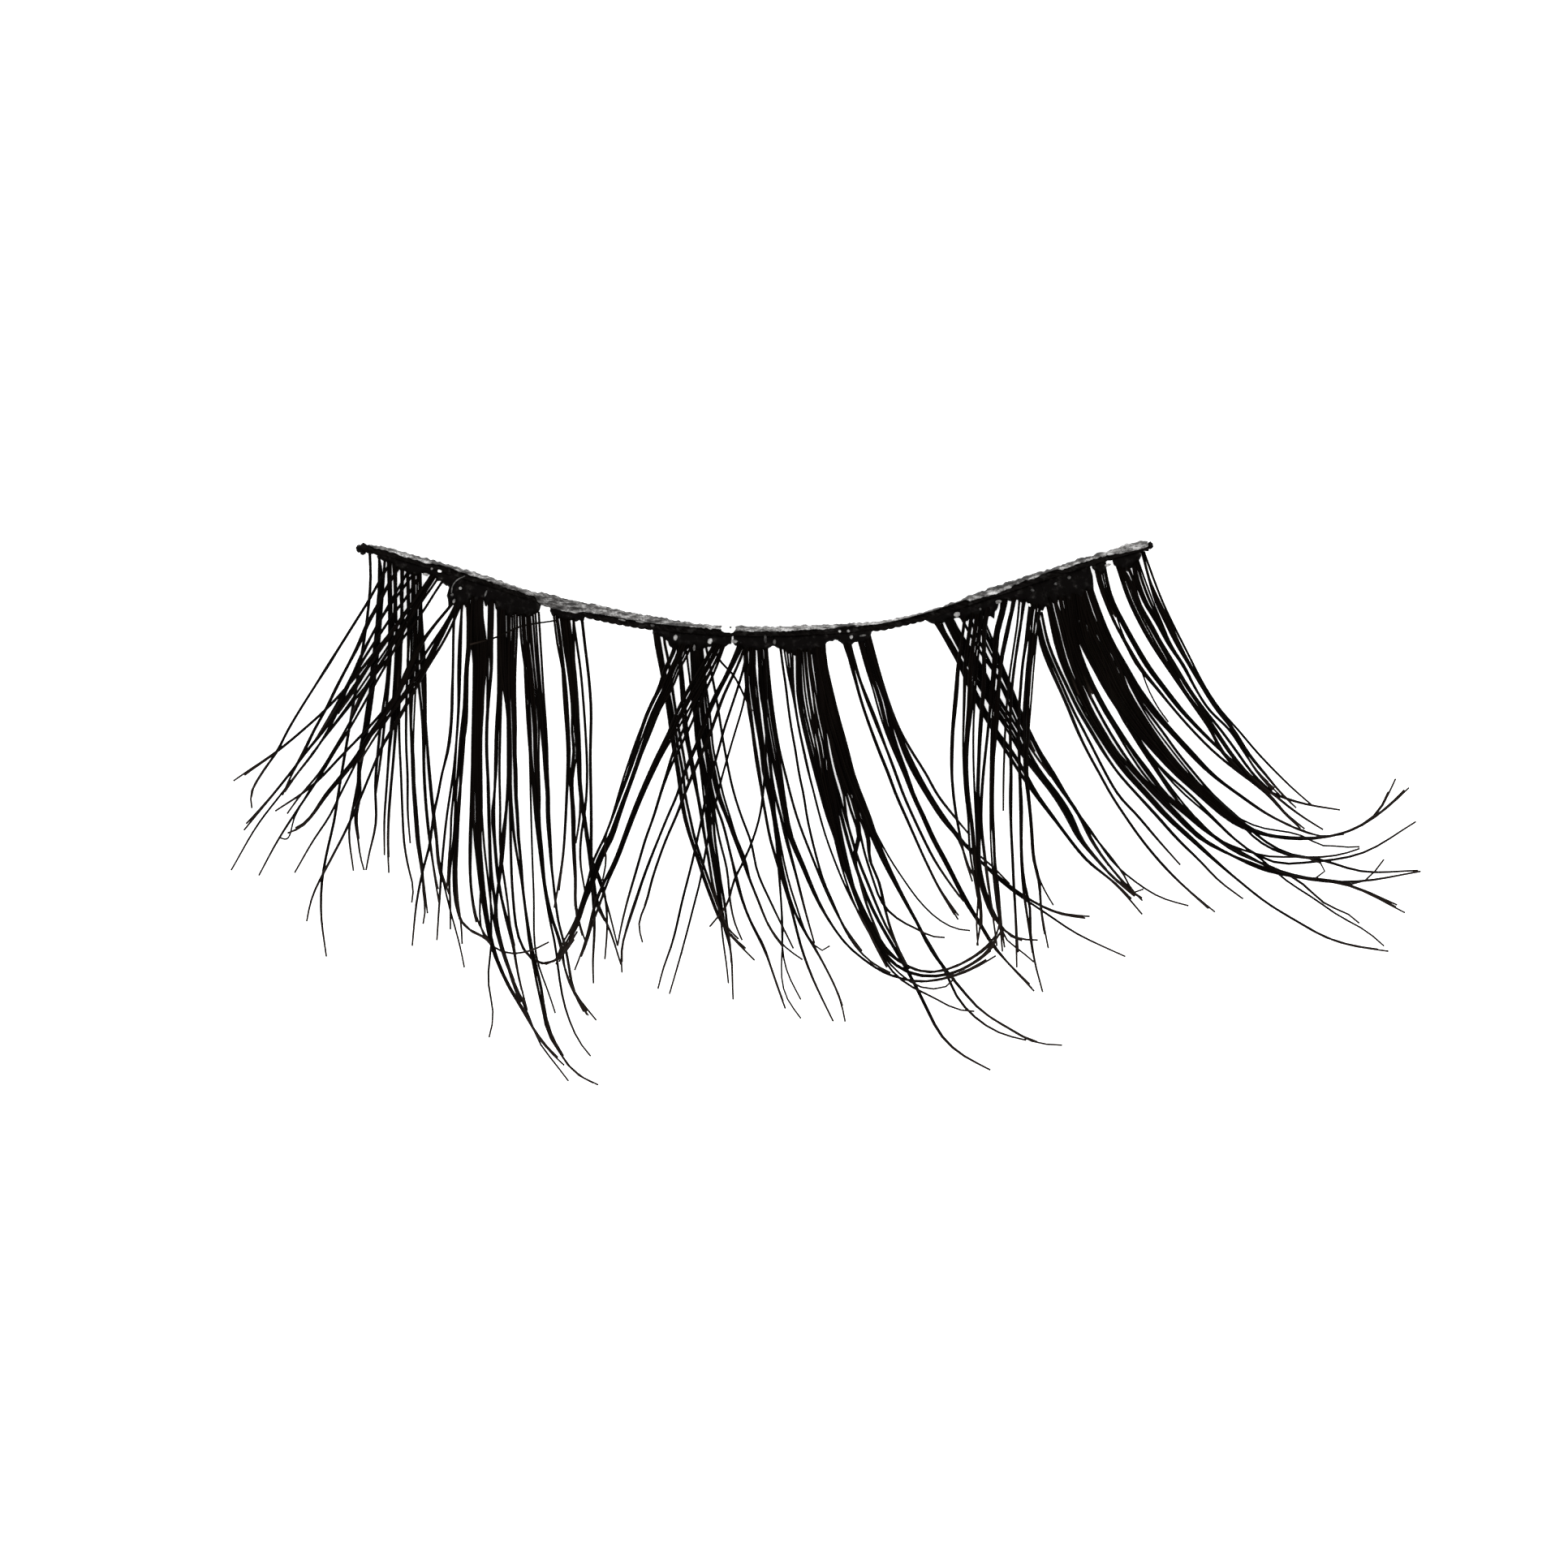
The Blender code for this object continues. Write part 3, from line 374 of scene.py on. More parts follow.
        Tuft(0, 1, .10, [(51.3, 17), (51.8, 26), (52.4, 33), (53, 38), (53.7, 42), (54.4, 46),
            (55.2, 50), (56.2, 54), (57.3, 58), (58.4, 62), (59.6, 66), (61.2, 70.5), (63.4, 75)]),
        Tuft(1, 1, .09, [(44.6, 17.5), (45.3, 20.5), (47.3, 24), (48.7, 28), (49.6, 30.5)]),
        Tuft(1, 1, .09, [(51.2, 18), (51.4, 33), (51, 45), (50.5, 50), (49.7, 54), (48.4, 58.5),
            (47.2, 62), (46.5, 66), (44.2, 70.5)]),
        Tuft(0, 1, .07, [(50.3, 17), (52, 44), (53.2, 66), (54, 79), (55.7, 84)]),
        Tuft(0, 1, .07, [(50.4, 17), (52.3, 46), (53.4, 70), (54, 84), (55.7, 87.5)]),
    ],
    "mid_right": [
        Tuft(1, 1, .10, [(53, 17), (53.4, 22), (53.8, 26), (54.1, 30), (54.5, 34), (55, 38),
            (55.4, 42), (56, 46), (56.4, 50), (57, 54), (57.7, 58), (58.5, 62), (59.7, 66),
            (60.9, 70), (62.5, 74), (65, 77.5), (67, 79)]),
        Tuft(1, 4, .10, [(54, 17, 1.5), (54.2, 20, 1.3), (54.45, 24, .9), (54.85, 28, .5),
            (55.25, 32, .4), (56.1, 38, .5), (56.7, 42, .5), (57.4, 46, .3), (58.1, 50),
            (58.9, 54), (59.9, 58), (61, 62), (62.3, 66), (63.8, 70), (65.1, 74), (66.6, 78, .3)]),
        Tuft(1, 6, .13, [(57.4, 17, .4), (59.4, 42, .5), (61.4, 58), (63.4, 68), (65.5, 74),
            (67.5, 77.5, .5), (69.8, 79.3, .6), (72.4, 79.7), (74.9, 79.1), (77.3, 77.4, .6),
            (79.5, 74.9, .5), (80.9, 72, .3)], .05),
        Tuft(1, 8, .11, [(55.9, 17, 2.0), (56.1, 22, 2.1), (56.3, 26, 2.6), (56.7, 30, 2.7),
            (57.3, 34, 2.8), (58, 38, 2.8), (58.35, 42, 2.1), (59, 46, 2.0), (59.65, 50, 1.9),
            (60.5, 54, 1.7), (61.1, 58, 1.0), (61.95, 62, .8), (63.1, 66, .8), (64.4, 70, 1.2),
            (66, 74, 1.2), (68, 76.8, .8), (70, 78.5, .5), (72, 79, .4), (75, 78, .3),
            (77, 76.5, .3), (80, 73, .2), (81, 71), (81, 69.5, .2)]),
        Tuft(1, 7, .11, [(57.9, 17, 1.8), (58.2, 22, 1.8), (58.8, 26, 1.9), (59.4, 30, 2.0),
            (60.2, 34, 1.9), (61, 38, 1.9), (61.8, 42, 1.7), (62.9, 46, 1.6), (64.1, 50, 1.5),
            (65.1, 54, 1.2), (66.3, 58, 1.2), (67.6, 62, .9), (69, 66, .7), (70.5, 70, .6),
            (71.8, 74, .7), (73.7, 78, .7), (75.9, 82, .6), (78.3, 86, .6), (82, 89.5, .4),
            (85, 92, .3), (88.5, 92.5, .2)]),
        Tuft(1, 2, .10, [(57.4, 17, .5), (58.5, 30, .7), (59.3, 37, .8), (60, 42, .9),
            (60.8, 46, 1.0), (61.3, 50, .5), (62.1, 54, .3), (62.9, 58), (64, 62), (65.1, 66),
            (66.3, 70, .3), (67.8, 74, .5), (69.5, 79, .3)]),
        Tuft(1, 2, .10, [(57, 17, .3), (59.5, 36, .4), (61.2, 44, .5), (62.3, 49, .9),
            (63.1, 54, .5), (62.4, 57, .5), (63, 61, .3), (63.9, 66), (65.2, 71), (66.8, 77, .3)]),
        Tuft(1, 1, .09, [(57.4, 17), (60, 38), (61.9, 46), (62.7, 50), (63.8, 57), (64.9, 62),
            (65.9, 66), (68.5, 69.6), (70.5, 71), (72, 72.3), (73.8, 72.5)]),
        Tuft(1, 2, .10, [(58, 17, .3), (60.8, 36, .4), (62, 43, .5), (63, 49, .8), (64.2, 54, .6),
            (64.3, 58, .4), (65.5, 62), (66.1, 66, .4), (66.8, 70, .3), (67.8, 74, .4),
            (69.4, 79, .2)]),
        Tuft(1, 1, .08, [(58, 17), (61.5, 42), (64.8, 52), (67, 58), (68.8, 62), (70.8, 66),
            (73.5, 69.6), (75.5, 71), (77, 71.2)]),
        Tuft(1, 1, .12, [(57, 17), (60, 45), (65, 68), (68.5, 77), (70, 81), (71, 84), (72, 87),
            (73, 90), (75, 93.2), (76, 94.3), (77.5, 95.5), (79.5, 97)]),
        Tuft(1, 1, .09, [(56.5, 17), (59, 45), (64, 70), (68, 80), (70, 82), (72, 83.3), (74, 85),
            (75.5, 86), (77.5, 86.2)]),
        Tuft(1, 1, .08, [(56, 17), (58.6, 45), (64, 71), (68, 79), (71, 81.8), (73, 82),
            (74.5, 81.3), (75, 80)]),
        Tuft(1, 1, .11, [(57.6, 18), (61, 38), (65, 55), (70, 69), (73, 76.5), (74.3, 80),
            (75.1, 83), (77, 86.5), (81, 90.4), (84, 91.5)]),
    ],
    "slant": [
        Tuft(0, 3, .10, [(61.0, 15.5, .6), (61.2, 18), (61.8, 20), (62.1, 22, .6), (62.45, 24, .5),
            (63.2, 28, .4), (64.1, 32, .4), (65.6, 38, .3), (66.7, 42), (67.7, 46), (68.9, 50),
            (70.1, 54), (71.3, 58), (73, 63, .3), (75.7, 69, .2)]),
        Tuft(0, 3, .10, [(61.6, 15.5, .5), (61.8, 18, .6), (62.2, 20, .5), (62.6, 22, .5),
            (63, 24, .4), (64, 28, .6), (65.1, 32, .7), (66.6, 38, .4), (67.6, 42, .3), (68.6, 46),
            (69.8, 50), (71.1, 54), (72.5, 58), (74.2, 62, .3), (76, 66, .2)]),
        Tuft(0, 5, .11, [(63.2, 15.5, 1.3), (63.6, 18, 1.4), (63.95, 20, 1.3), (64.35, 22, 1.4),
            (64.75, 24, 1.3), (65.8, 28, 1.8), (66.4, 32, 1.5), (67.2, 36, 1.2), (68.8, 42, 1.0),
            (69.8, 46, .8), (71.1, 50), (72.3, 54), (73.8, 58, .8), (75.2, 62, .7), (76.6, 66, .8),
            (78.3, 70, .6), (79.9, 74, .7), (82.2, 78, .5), (85, 82.5, .3)]),
        Tuft(0, 1, .09, [(63.3, 15), (65.6, 26), (67.5, 33.5), (69.2, 40), (71.5, 46), (74, 51.5),
            (75.5, 54), (76.3, 57), (77, 60), (78.4, 63)]),
        Tuft(0, 1, .10, [(64.2, 15.5), (66.2, 26), (67.1, 30), (68.2, 34), (69.7, 38), (71.4, 42),
            (72.9, 46), (75, 50), (77, 53.5)]),
        Tuft(0, 2, .10, [(63.6, 15, .4), (66, 26, .5), (67.6, 33), (68.9, 38, .5), (70.3, 42, .4),
            (71.6, 46, .5), (73.4, 50, .5), (75.6, 54, .6), (77.6, 57.3, .4), (80, 60.5, .6),
            (83, 64, .4), (86, 66.7, .3), (88, 68, .3), (92, 69, .2)]),
        Tuft(0, 1, .09, [(63.8, 15), (68, 34), (75, 52.5), (82, 63.5), (86, 67.5), (88, 69.5),
            (90, 71.5), (92, 73), (96.5, 76)]),
        Tuft(0, 1, .08, [(63.9, 15), (70, 41), (76, 54.5), (80, 59.5), (82, 62.5)]),
    ],
    "right_cross": [
        Tuft(0, 3, .11, [(72.0, 12.5, .6), (72.8, 14, .7), (73.7, 16, .8), (74.5, 18, .9),
            (75.8, 21.5, .8), (77, 25.5, .9), (78.4, 29.5, .9), (80.1, 34, .8), (82, 38, 1.2),
            (83.7, 42, 1.2), (85.4, 46, .8), (87.4, 50, .6), (89.4, 54, .3), (91.6, 58, .3),
            (95.3, 62.5, .5), (98.8, 68, .2)]),
        Tuft(0, 7, .11, [(73.9, 12, 1.4), (75, 15.5, 1.5), (76.2, 18.5, 1.8), (77.6, 22, 2.0),
            (79, 26), (80.7, 30, 2.0), (82.5, 34, 1.9), (83.9, 38, 1.6), (85.7, 42, 1.2),
            (87.8, 46), (89.5, 50, 1.2), (90.8, 54, .9), (93, 58, .7), (95.5, 62, .6),
            (98.5, 65.5, .3)]),
        Tuft(0, 4, .11, [(77.2, 10.5, .8), (78.4, 14, 1.2), (79.6, 18, 1.4), (80.8, 22, 1.0),
            (82, 26, .9), (83, 30, 1.0), (84.3, 34, 1.0), (85.8, 38, .8), (87.5, 42, .8),
            (89, 46, .9), (90.8, 50, .8), (92.1, 54, .9), (93.9, 58, .7), (96.2, 62, .4),
            (98.6, 65.8, .2)]),
        Tuft(0, 1, .10, [(73.1, 12.5), (73.8, 15.5), (74.8, 18), (75.7, 20.5), (77.3, 24.5)]),
        Tuft(0, 1, .10, [(75.5, 12), (78.5, 20), (80.6, 24.5), (82.6, 30), (84, 34.5),
            (85.2, 38)]),
        Tuft(0, 1, .10, [(76.5, 11), (78, 17), (79.5, 21.5), (81.3, 27), (82.8, 32), (84.6, 37),
            (87.2, 42.6)]),
        Tuft(0, 1, .09, [(77.9, 10.5), (80.1, 18), (81.4, 23), (82.6, 27.2), (83.4, 30.5),
            (86.2, 40), (92.6, 53.5), (94.9, 58.4), (97.9, 62.2), (101, 65), (104.5, 66.5)]),
        Tuft(0, 1, .09, [(77, 9.5), (80.8, 22), (86, 39), (92, 52.5), (97, 62.5), (97.6, 64.5),
            (98.8, 63.5)]),
        Tuft(2, 2, .11, [(76.6, 10.5, .4), (75.9, 18, .4), (75.5, 22, .5), (75.3, 26, .6),
            (75.05, 30, .6), (74.8, 34, .5), (74.7, 38, .5), (74.7, 42, .4), (74.9, 46, .3),
            (75.3, 50), (75.8, 54), (76.5, 58, .3), (77.5, 62, .2)]),
        Tuft(2, 5, .11, [(78, 10, 1.6), (77.5, 15), (76.9, 22, 1.6), (76.8, 26, 1.5),
            (76.7, 30, 1.4), (76.5, 34, 1.1), (76.4, 38, .9), (76.45, 42, .8), (76.65, 46),
            (77, 50, .8), (77.2, 54, 1.0), (77.4, 58, .9), (77.8, 62, .7), (78.2, 66, .7),
            (78.4, 70, .4), (78.1, 74, .3)]),
        Tuft(2, 3, .11, [(79.5, 9, .7), (79.2, 12, .6), (78.9, 14, .6), (78.8, 18, .5),
            (78.85, 24), (78.5, 31), (78.35, 34, .5), (78.2, 38, .4), (78.1, 42), (78, 46, .4),
            (78.1, 50, .5), (78.1, 54, .5), (78.1, 58, .4), (78.4, 62, .7), (79.2, 66, .8),
            (80.6, 70, .9), (82.5, 72.5, .4), (85.5, 73, .3)]),
        Tuft(2, 3, .10, [(81.5, 8.5, .8), (81.1, 12), (80.7, 14), (80.35, 16, .8), (80.1, 20, .5),
            (79.6, 29, .4), (79.3, 34, .3), (79, 38), (78.7, 42), (78.5, 46), (78.4, 50),
            (78.9, 58), (79.6, 66, .3), (80.5, 74, .6)]),
        Tuft(2, 3, .10, [(82.7, 8, .7), (82.3, 12, .5), (81.9, 14, .6), (81.7, 16),
            (81.35, 18, .6), (80.9, 22, .5), (80.6, 27, .6), (80.3, 34, .9), (80.05, 38, .7),
            (79.9, 43, .6), (79.85, 50, .5), (80, 54, .3), (80.1, 58, .3), (80.5, 63, .8),
            (80.9, 70, .7), (81.4, 75, .4)]),
        Tuft(2, 1, .08, [(83.3, 8.5), (83, 14), (82.5, 19), (82, 24), (81.5, 32), (81.3, 38),
            (81.2, 44), (81.2, 49)]),
        Tuft(2, 2, .10, [(83.9, 9, .5), (83.6, 12, .4), (83.45, 14, .3), (83.2, 16), (83, 18, .3),
            (82.5, 23, .4), (82.1, 30, .3), (82.1, 37, .4), (82.2, 42, .4), (82.15, 46, .5),
            (82.2, 52, .3), (82.4, 58), (82.5, 62), (82.7, 67, .3), (83, 78, .2)]),
        Tuft(2, 2, .11, [(84.8, 9, .5), (84.4, 14, .6), (84.05, 18, .5), (83.6, 22, .4),
            (83.4, 26), (83.15, 31), (83.2, 38), (83.3, 43, .4), (83.45, 48, .5), (83.45, 52, .4),
            (83.5, 58, .3), (83.8, 63, .5), (84.3, 67, .8), (84.5, 71, .4), (85, 76, .4),
            (86.3, 82.5, .2)]),
        Tuft(2, 4, .11, [(85.5, 9, 1.2), (85.1, 13, 1.6), (84.8, 18, .9), (84.45, 22, .8),
            (84.25, 26), (84.05, 30, .8), (84.1, 34, .9), (84, 38, .7), (84, 42, .5), (84.3, 46),
            (84.6, 50), (84.8, 54), (85, 58), (85.7, 62, .5), (85.9, 67, .3), (86.3, 71, .3),
            (86.7, 74.5, .2)]),
        Tuft(2, 1, .08, [(85.8, 10), (84.8, 26), (84.3, 43), (84.7, 49), (85, 57), (85.6, 61),
            (86.5, 64), (87.5, 66.5)]),
        Tuft(2, 1, .08, [(78.7, 9), (77.4, 34), (77.9, 58), (78, 66), (77.8, 70), (78, 74)]),
        Tuft(2, 1, .08, [(81, 9), (79.6, 40), (80, 62), (81, 71), (81.5, 73), (83, 74.5),
            (85, 77)]),
        Tuft(0, 2, .10, [(85.4, 12, .3), (86, 18, .5), (87, 22, .5), (88.2, 26, .4), (89.4, 30),
            (90.5, 34, .4), (91.8, 38, .3), (93.3, 42), (94.8, 46), (96.6, 50), (98.5, 54, .3),
            (100.7, 58, .2), (103.6, 62.5), (107.7, 68, .2)]),
        Tuft(0, 1, .10, [(85.7, 13.5), (86.4, 18), (87.5, 22), (88.7, 26), (89.9, 30), (91.3, 34),
            (92.7, 38), (94.1, 42), (95.7, 46), (98.2, 50), (100.2, 53.5), (101.8, 56.2),
            (103.5, 59)]),
        Tuft(0, 2, .10, [(86, 12, .3), (86.9, 18), (88, 22), (89.3, 26, .3), (90.6, 30, .4),
            (92.2, 34, .5), (93.8, 38, .5), (95.7, 42, .4), (98.1, 46, .5), (100.6, 50, .3),
            (103, 54, .3), (105.8, 58, .2), (108.5, 62), (111.5, 65, .2)]),
    ],
    "right_sweep": [
        Tuft(0, 4, .11, [(86.5, 9, .3), (87.1, 12.5, .6), (87.6, 15.5, .8), (88, 18, .9),
            (89, 22, 1.1), (90.2, 26, 1.1), (91.5, 30, 1.2), (93.1, 34, 1.1), (94.8, 38, 1.1),
            (96.8, 42, 1.2), (99.3, 46, 1.1), (101.7, 50), (104.7, 54, 1.1), (107.7, 58, .8),
            (110.9, 62, .5), (114.3, 66, .6), (118.8, 70, .6), (121.5, 72.3, .4), (124, 73.6, .3),
            (129.5, 75, .2)]),
        Tuft(0, 4, .11, [(87.5, 9, .4), (88.1, 12, .8), (88.7, 15, .8), (89.2, 18, 1.0),
            (89.9, 22, .6), (91, 26, .8), (92.2, 30, .6), (93.7, 34, .8), (95.4, 38, .7),
            (97.8, 42, 1.1), (100.3, 46, 1.1), (103, 50, .8), (105.8, 54, .8), (109.5, 57, .7),
            (112.5, 58.6, .6), (116, 60.6, .5), (120, 61.7, .5), (124, 62.5, .3),
            (131.7, 67.5, .2)]),
        Tuft(0, 3, .11, [(86.9, 8.5, .4), (87.4, 12, .5), (88.1, 16), (88.8, 20, .5),
            (89.8, 24, .3), (90.8, 28, .2)]),
        Tuft(0, 3, .11, [(88.2, 8, .5), (88.7, 12), (89.4, 16, .5), (90.3, 20, .4), (91.4, 24, .3),
            (92.5, 28, .2)]),
        Tuft(0, 2, .11, [(88.7, 8, .3), (89.3, 13, .4), (89.6, 18, .6), (90.4, 22, .5),
            (91.6, 26, .5), (93, 30, .4), (94.5, 34), (96.2, 38, .4), (98.2, 42, .5),
            (100.8, 46, .7), (103.4, 50, .7), (106.2, 54, .6), (110.5, 57.6, .7), (114, 60, .8),
            (118, 61.2, .6), (121, 62, .6), (126, 62, .3), (133.5, 59.8, .2)]),
        Tuft(0, 4, .11, [(89, 7, .5), (89.8, 13, .8), (90.3, 18, .9), (91.2, 22, 1.0),
            (92.5, 26, .8), (93.9, 30, .9), (95.6, 34, .9), (97.3, 38, 1.1), (99.3, 42, 1.4),
            (101.5, 46, 1.0), (104.9, 50, 1.4), (107.6, 53.6, .8), (110.4, 56, .7),
            (113.4, 58.4, .7), (116, 60.6, .5), (120.5, 61.6, .5), (124, 62.4, .3)]),
        Tuft(0, 8, .12, [(90.4, 6.5, 1.8), (90.9, 12, 2.4), (91.8, 18, 2.2), (93.3, 22, 2.3),
            (94.6, 26, 2.0), (96.3, 30, 2.1), (98.3, 34, 1.7), (100.6, 38, 1.7), (103, 42, 1.4),
            (106, 46, 1.3), (109.1, 50, 1.4), (111.5, 52.3, 1.2), (114.5, 53.6, 1.0),
            (120, 54.2, .9), (125, 52.6, .6), (130, 47.5, .4), (132, 44.5, .3)]),
        Tuft(0, 6, .12, [(91.1, 6.5, 1.5), (92.2, 12, 2.0), (93.8, 18, 1.9), (95.2, 22, 1.9),
            (96.2, 26, 1.6), (97.8, 30, 1.6), (99.6, 34, 1.5), (101.6, 38, 1.4), (104, 42, 1.2),
            (107, 46), (110, 50, 1.2), (113, 52.8, 1.0), (118, 54, .8), (124, 53.1, .6),
            (128, 49.8, .4), (130.4, 43, .3)]),
        Tuft(0, 4, .11, [(91.9, 6, .6), (93.1, 12, 1.0), (94.8, 18, 1.1), (96.4, 22, 1.1),
            (98, 26, 1.0), (99.9, 30, 1.2), (102.2, 34, 1.1), (104.7, 38, 1.2), (107.4, 42, .9),
            (111, 46, .8), (115, 50, .8), (119, 52.7, .7), (121, 53.5, .5), (124, 53, .3)]),
        Tuft(0, 1, .10, [(92, 8), (95, 18), (98, 27.5), (99.9, 31.5), (101.2, 34), (103.1, 38),
            (105.3, 42), (107.6, 46), (110.6, 50), (113.5, 54), (117, 57), (121, 58), (126, 60.2),
            (133.3, 60)]),
        Tuft(0, 1, .10, [(91, 8), (94, 22), (95.8, 31), (97.1, 34), (98.8, 38), (100.7, 42),
            (102.5, 46), (105, 50), (107.9, 54), (111, 57), (114.5, 59), (118.5, 62), (122, 66.6),
            (125, 68.4), (125.9, 69.8)]),
        Tuft(0, 1, .10, [(90.5, 8), (96, 30), (100.7, 40.5), (104.8, 46), (107.5, 50), (110.2, 54),
            (112.5, 56.6), (115.5, 58.6), (120, 58.4), (126, 57), (133, 51)]),
        Tuft(0, 1, .09, [(90.3, 8), (97, 33), (104, 46), (107.2, 50), (110, 54), (113.7, 58),
            (116.8, 62), (120, 65), (123.5, 68.6), (127, 71.4), (129, 74)]),
        Tuft(0, 1, .09, [(91, 8), (101, 37), (110, 49.5), (113.5, 54.8), (117, 57.2), (121, 57.6),
            (124, 57), (126, 56)]),
        Tuft(0, 1, .08, [(90, 7), (99, 37), (108, 54), (114, 57.3), (120.6, 58.2), (122, 59.5),
            (121.8, 60.6), (120.5, 61.4)]),
        Tuft(0, 1, .08, [(90, 7), (100, 40), (110, 56), (121, 61.7), (127, 61.8), (127.8, 60.4),
            (129, 58)]),
        Tuft(0, 1, .08, [(91.5, 7), (101, 35), (113, 51.8), (119, 53.6), (121.5, 55.6),
            (124, 55.4), (125, 56), (126, 55.6)]),
    ],
    "right_pair": [
        Tuft(1, 2, .10, [(92.7, 3, .3), (93.3, 7, .4), (94.1, 10, .5), (95.2, 14, .4),
            (96.7, 18, .5), (98.2, 22, .7), (100.4, 26, .5), (102.6, 30, .4), (105, 34),
            (107.7, 38), (110.6, 41.5), (113.5, 44.5, .4), (118, 47.3, .3), (123.5, 49.2, .2)]),
        Tuft(1, 4, .10, [(93.6, 3, 1.0), (94.1, 7, 1.1), (94.9, 10, .8), (96.3, 14),
            (97.8, 18, .8), (99.4, 22, .9), (101.4, 26), (103.5, 30, .9), (106, 34, .8),
            (108.4, 37.5, .7), (111, 41, .5), (115, 46, .3)]),
        Tuft(1, 1, .11, [(93.1, 3), (93.6, 7), (94.3, 10), (95.4, 13)]),
        Tuft(1, 1, .07, [(93.8, 4), (96.5, 17), (98.6, 22.8), (99.4, 26), (100.8, 30),
            (102, 32.5)]),
    ],
    "right_corner": [
        Tuft(2, 5, .11, [(95.6, 3, .8), (96.6, 6, 1.5), (97.6, 10), (98.9, 14), (100.4, 18, 1.5),
            (102, 22, 1.2), (103.6, 26, .7), (105.5, 30, .8), (107.4, 34, .9), (109, 38, 1.6),
            (111.4, 42, 1.3), (114.6, 46, .9), (117.1, 50, .7), (119, 52.5, .3)]),
        Tuft(2, 2, .10, [(96.7, 3, .4), (97.6, 6, .4), (98.2, 10, .3), (99.7, 14, .3),
            (101.2, 18, .5), (102.8, 22, .6), (104.4, 26), (106.3, 30, .6), (108.3, 34, .9),
            (110.2, 38, 1.1), (112.3, 42, .9), (115.3, 46, .6), (118.9, 50, .3),
            (121.5, 52.3, .2)]),
        Tuft(2, 6, .10, [(97.8, 2.5, 1.1), (98.4, 6, 1.5), (99.4, 10, 1.5), (100.8, 14, 1.0),
            (102.1, 18, .7), (103.9, 22, .6), (105.3, 26, .4), (107, 30), (109.7, 34),
            (111.5, 38, .4), (113.3, 42, .3), (116, 46, .3)]),
        Tuft(2, 3, .10, [(98.7, .9, .3), (99.6, 6, .4), (100.6, 10, .9), (101.9, 14, 1.0),
            (103.2, 18, 1.0), (104.7, 22, .8), (106.3, 26, .9), (108, 30, .9), (110.2, 34, .8),
            (111.9, 38, .6), (114.1, 42, .5), (116.3, 46, .3), (118, 48.5, .2)]),
        Tuft(2, 1, .09, [(98.9, .8), (101.2, 10), (104.5, 20), (106.6, 26), (108.4, 30),
            (110.8, 34), (113.1, 38), (115.7, 42), (117.8, 45), (120, 47.8)]),
    ],
}

# The glued roots of each cluster: places along the band, and how far they reach there below
# the seam in mm.
ROOTS = {
    "left_corner": [(2.3, .02), (2.7, .08), (3.4, .14), (4.3, .18), (4.9, .36), (6.2, .38),
        (7.7, .45), (8.1, .2), (9.5, .24), (11, .42), (12.5, .6), (13.1, .7)],
    "left_fan": [(11.8, .7), (12.3, 1.2), (13.6, 1.3), (14.4, 1.15), (14.9, .75), (15.4, .85),
        (16.1, .6), (16.8, .75), (17.4, .62), (18, .85), (20, .95), (22, .8), (22.8, .6),
        (23.1, .3)],
    "left_wisp": [(24.3, .3), (24.8, .42), (26.5, .5), (28.6, .3)],
    "mid_left": [(37.1, .2), (37.8, .22), (38.6, .3), (39.2, .5), (40.2, .75), (41.5, .7),
        (42.5, .5), (43.2, .65), (44.5, .35), (46, .4), (47.0, .26)],
    "centre": [(47.2, .2), (48.2, .45), (49.5, .5), (50.5, .5), (51.4, .4), (52.3, .22)],
    "mid_right": [(52.2, .22), (53, .45), (55, .6), (58.4, .6), (58.8, .24), (60.4, .2)],
    "slant": [(60.3, .2), (61, .42), (61.9, .42), (62.3, .3), (63, .44), (64.1, .4), (64.6, .1)],
    "right_cross": [(71.4, .1), (72.2, .28), (73.5, .34), (75, .32), (76.3, .55), (79.4, .75),
        (79.8, .45), (80.6, .2), (81.5, .24), (83, .38), (84.3, .8), (85.5, 1.0), (86.2, 1.0)],
    "right_sweep": [(85.9, .7), (86.6, .8), (88, .9), (90, .95), (91.8, .8), (92.2, .3)],
    "right_pair": [(92.4, .04), (93.1, .35), (93.8, .35), (94.2, .05)],
    "right_corner": [(95, .1), (95.7, .4), (96.6, .5), (97.3, .3), (98, .22), (98.6, .02)],
}
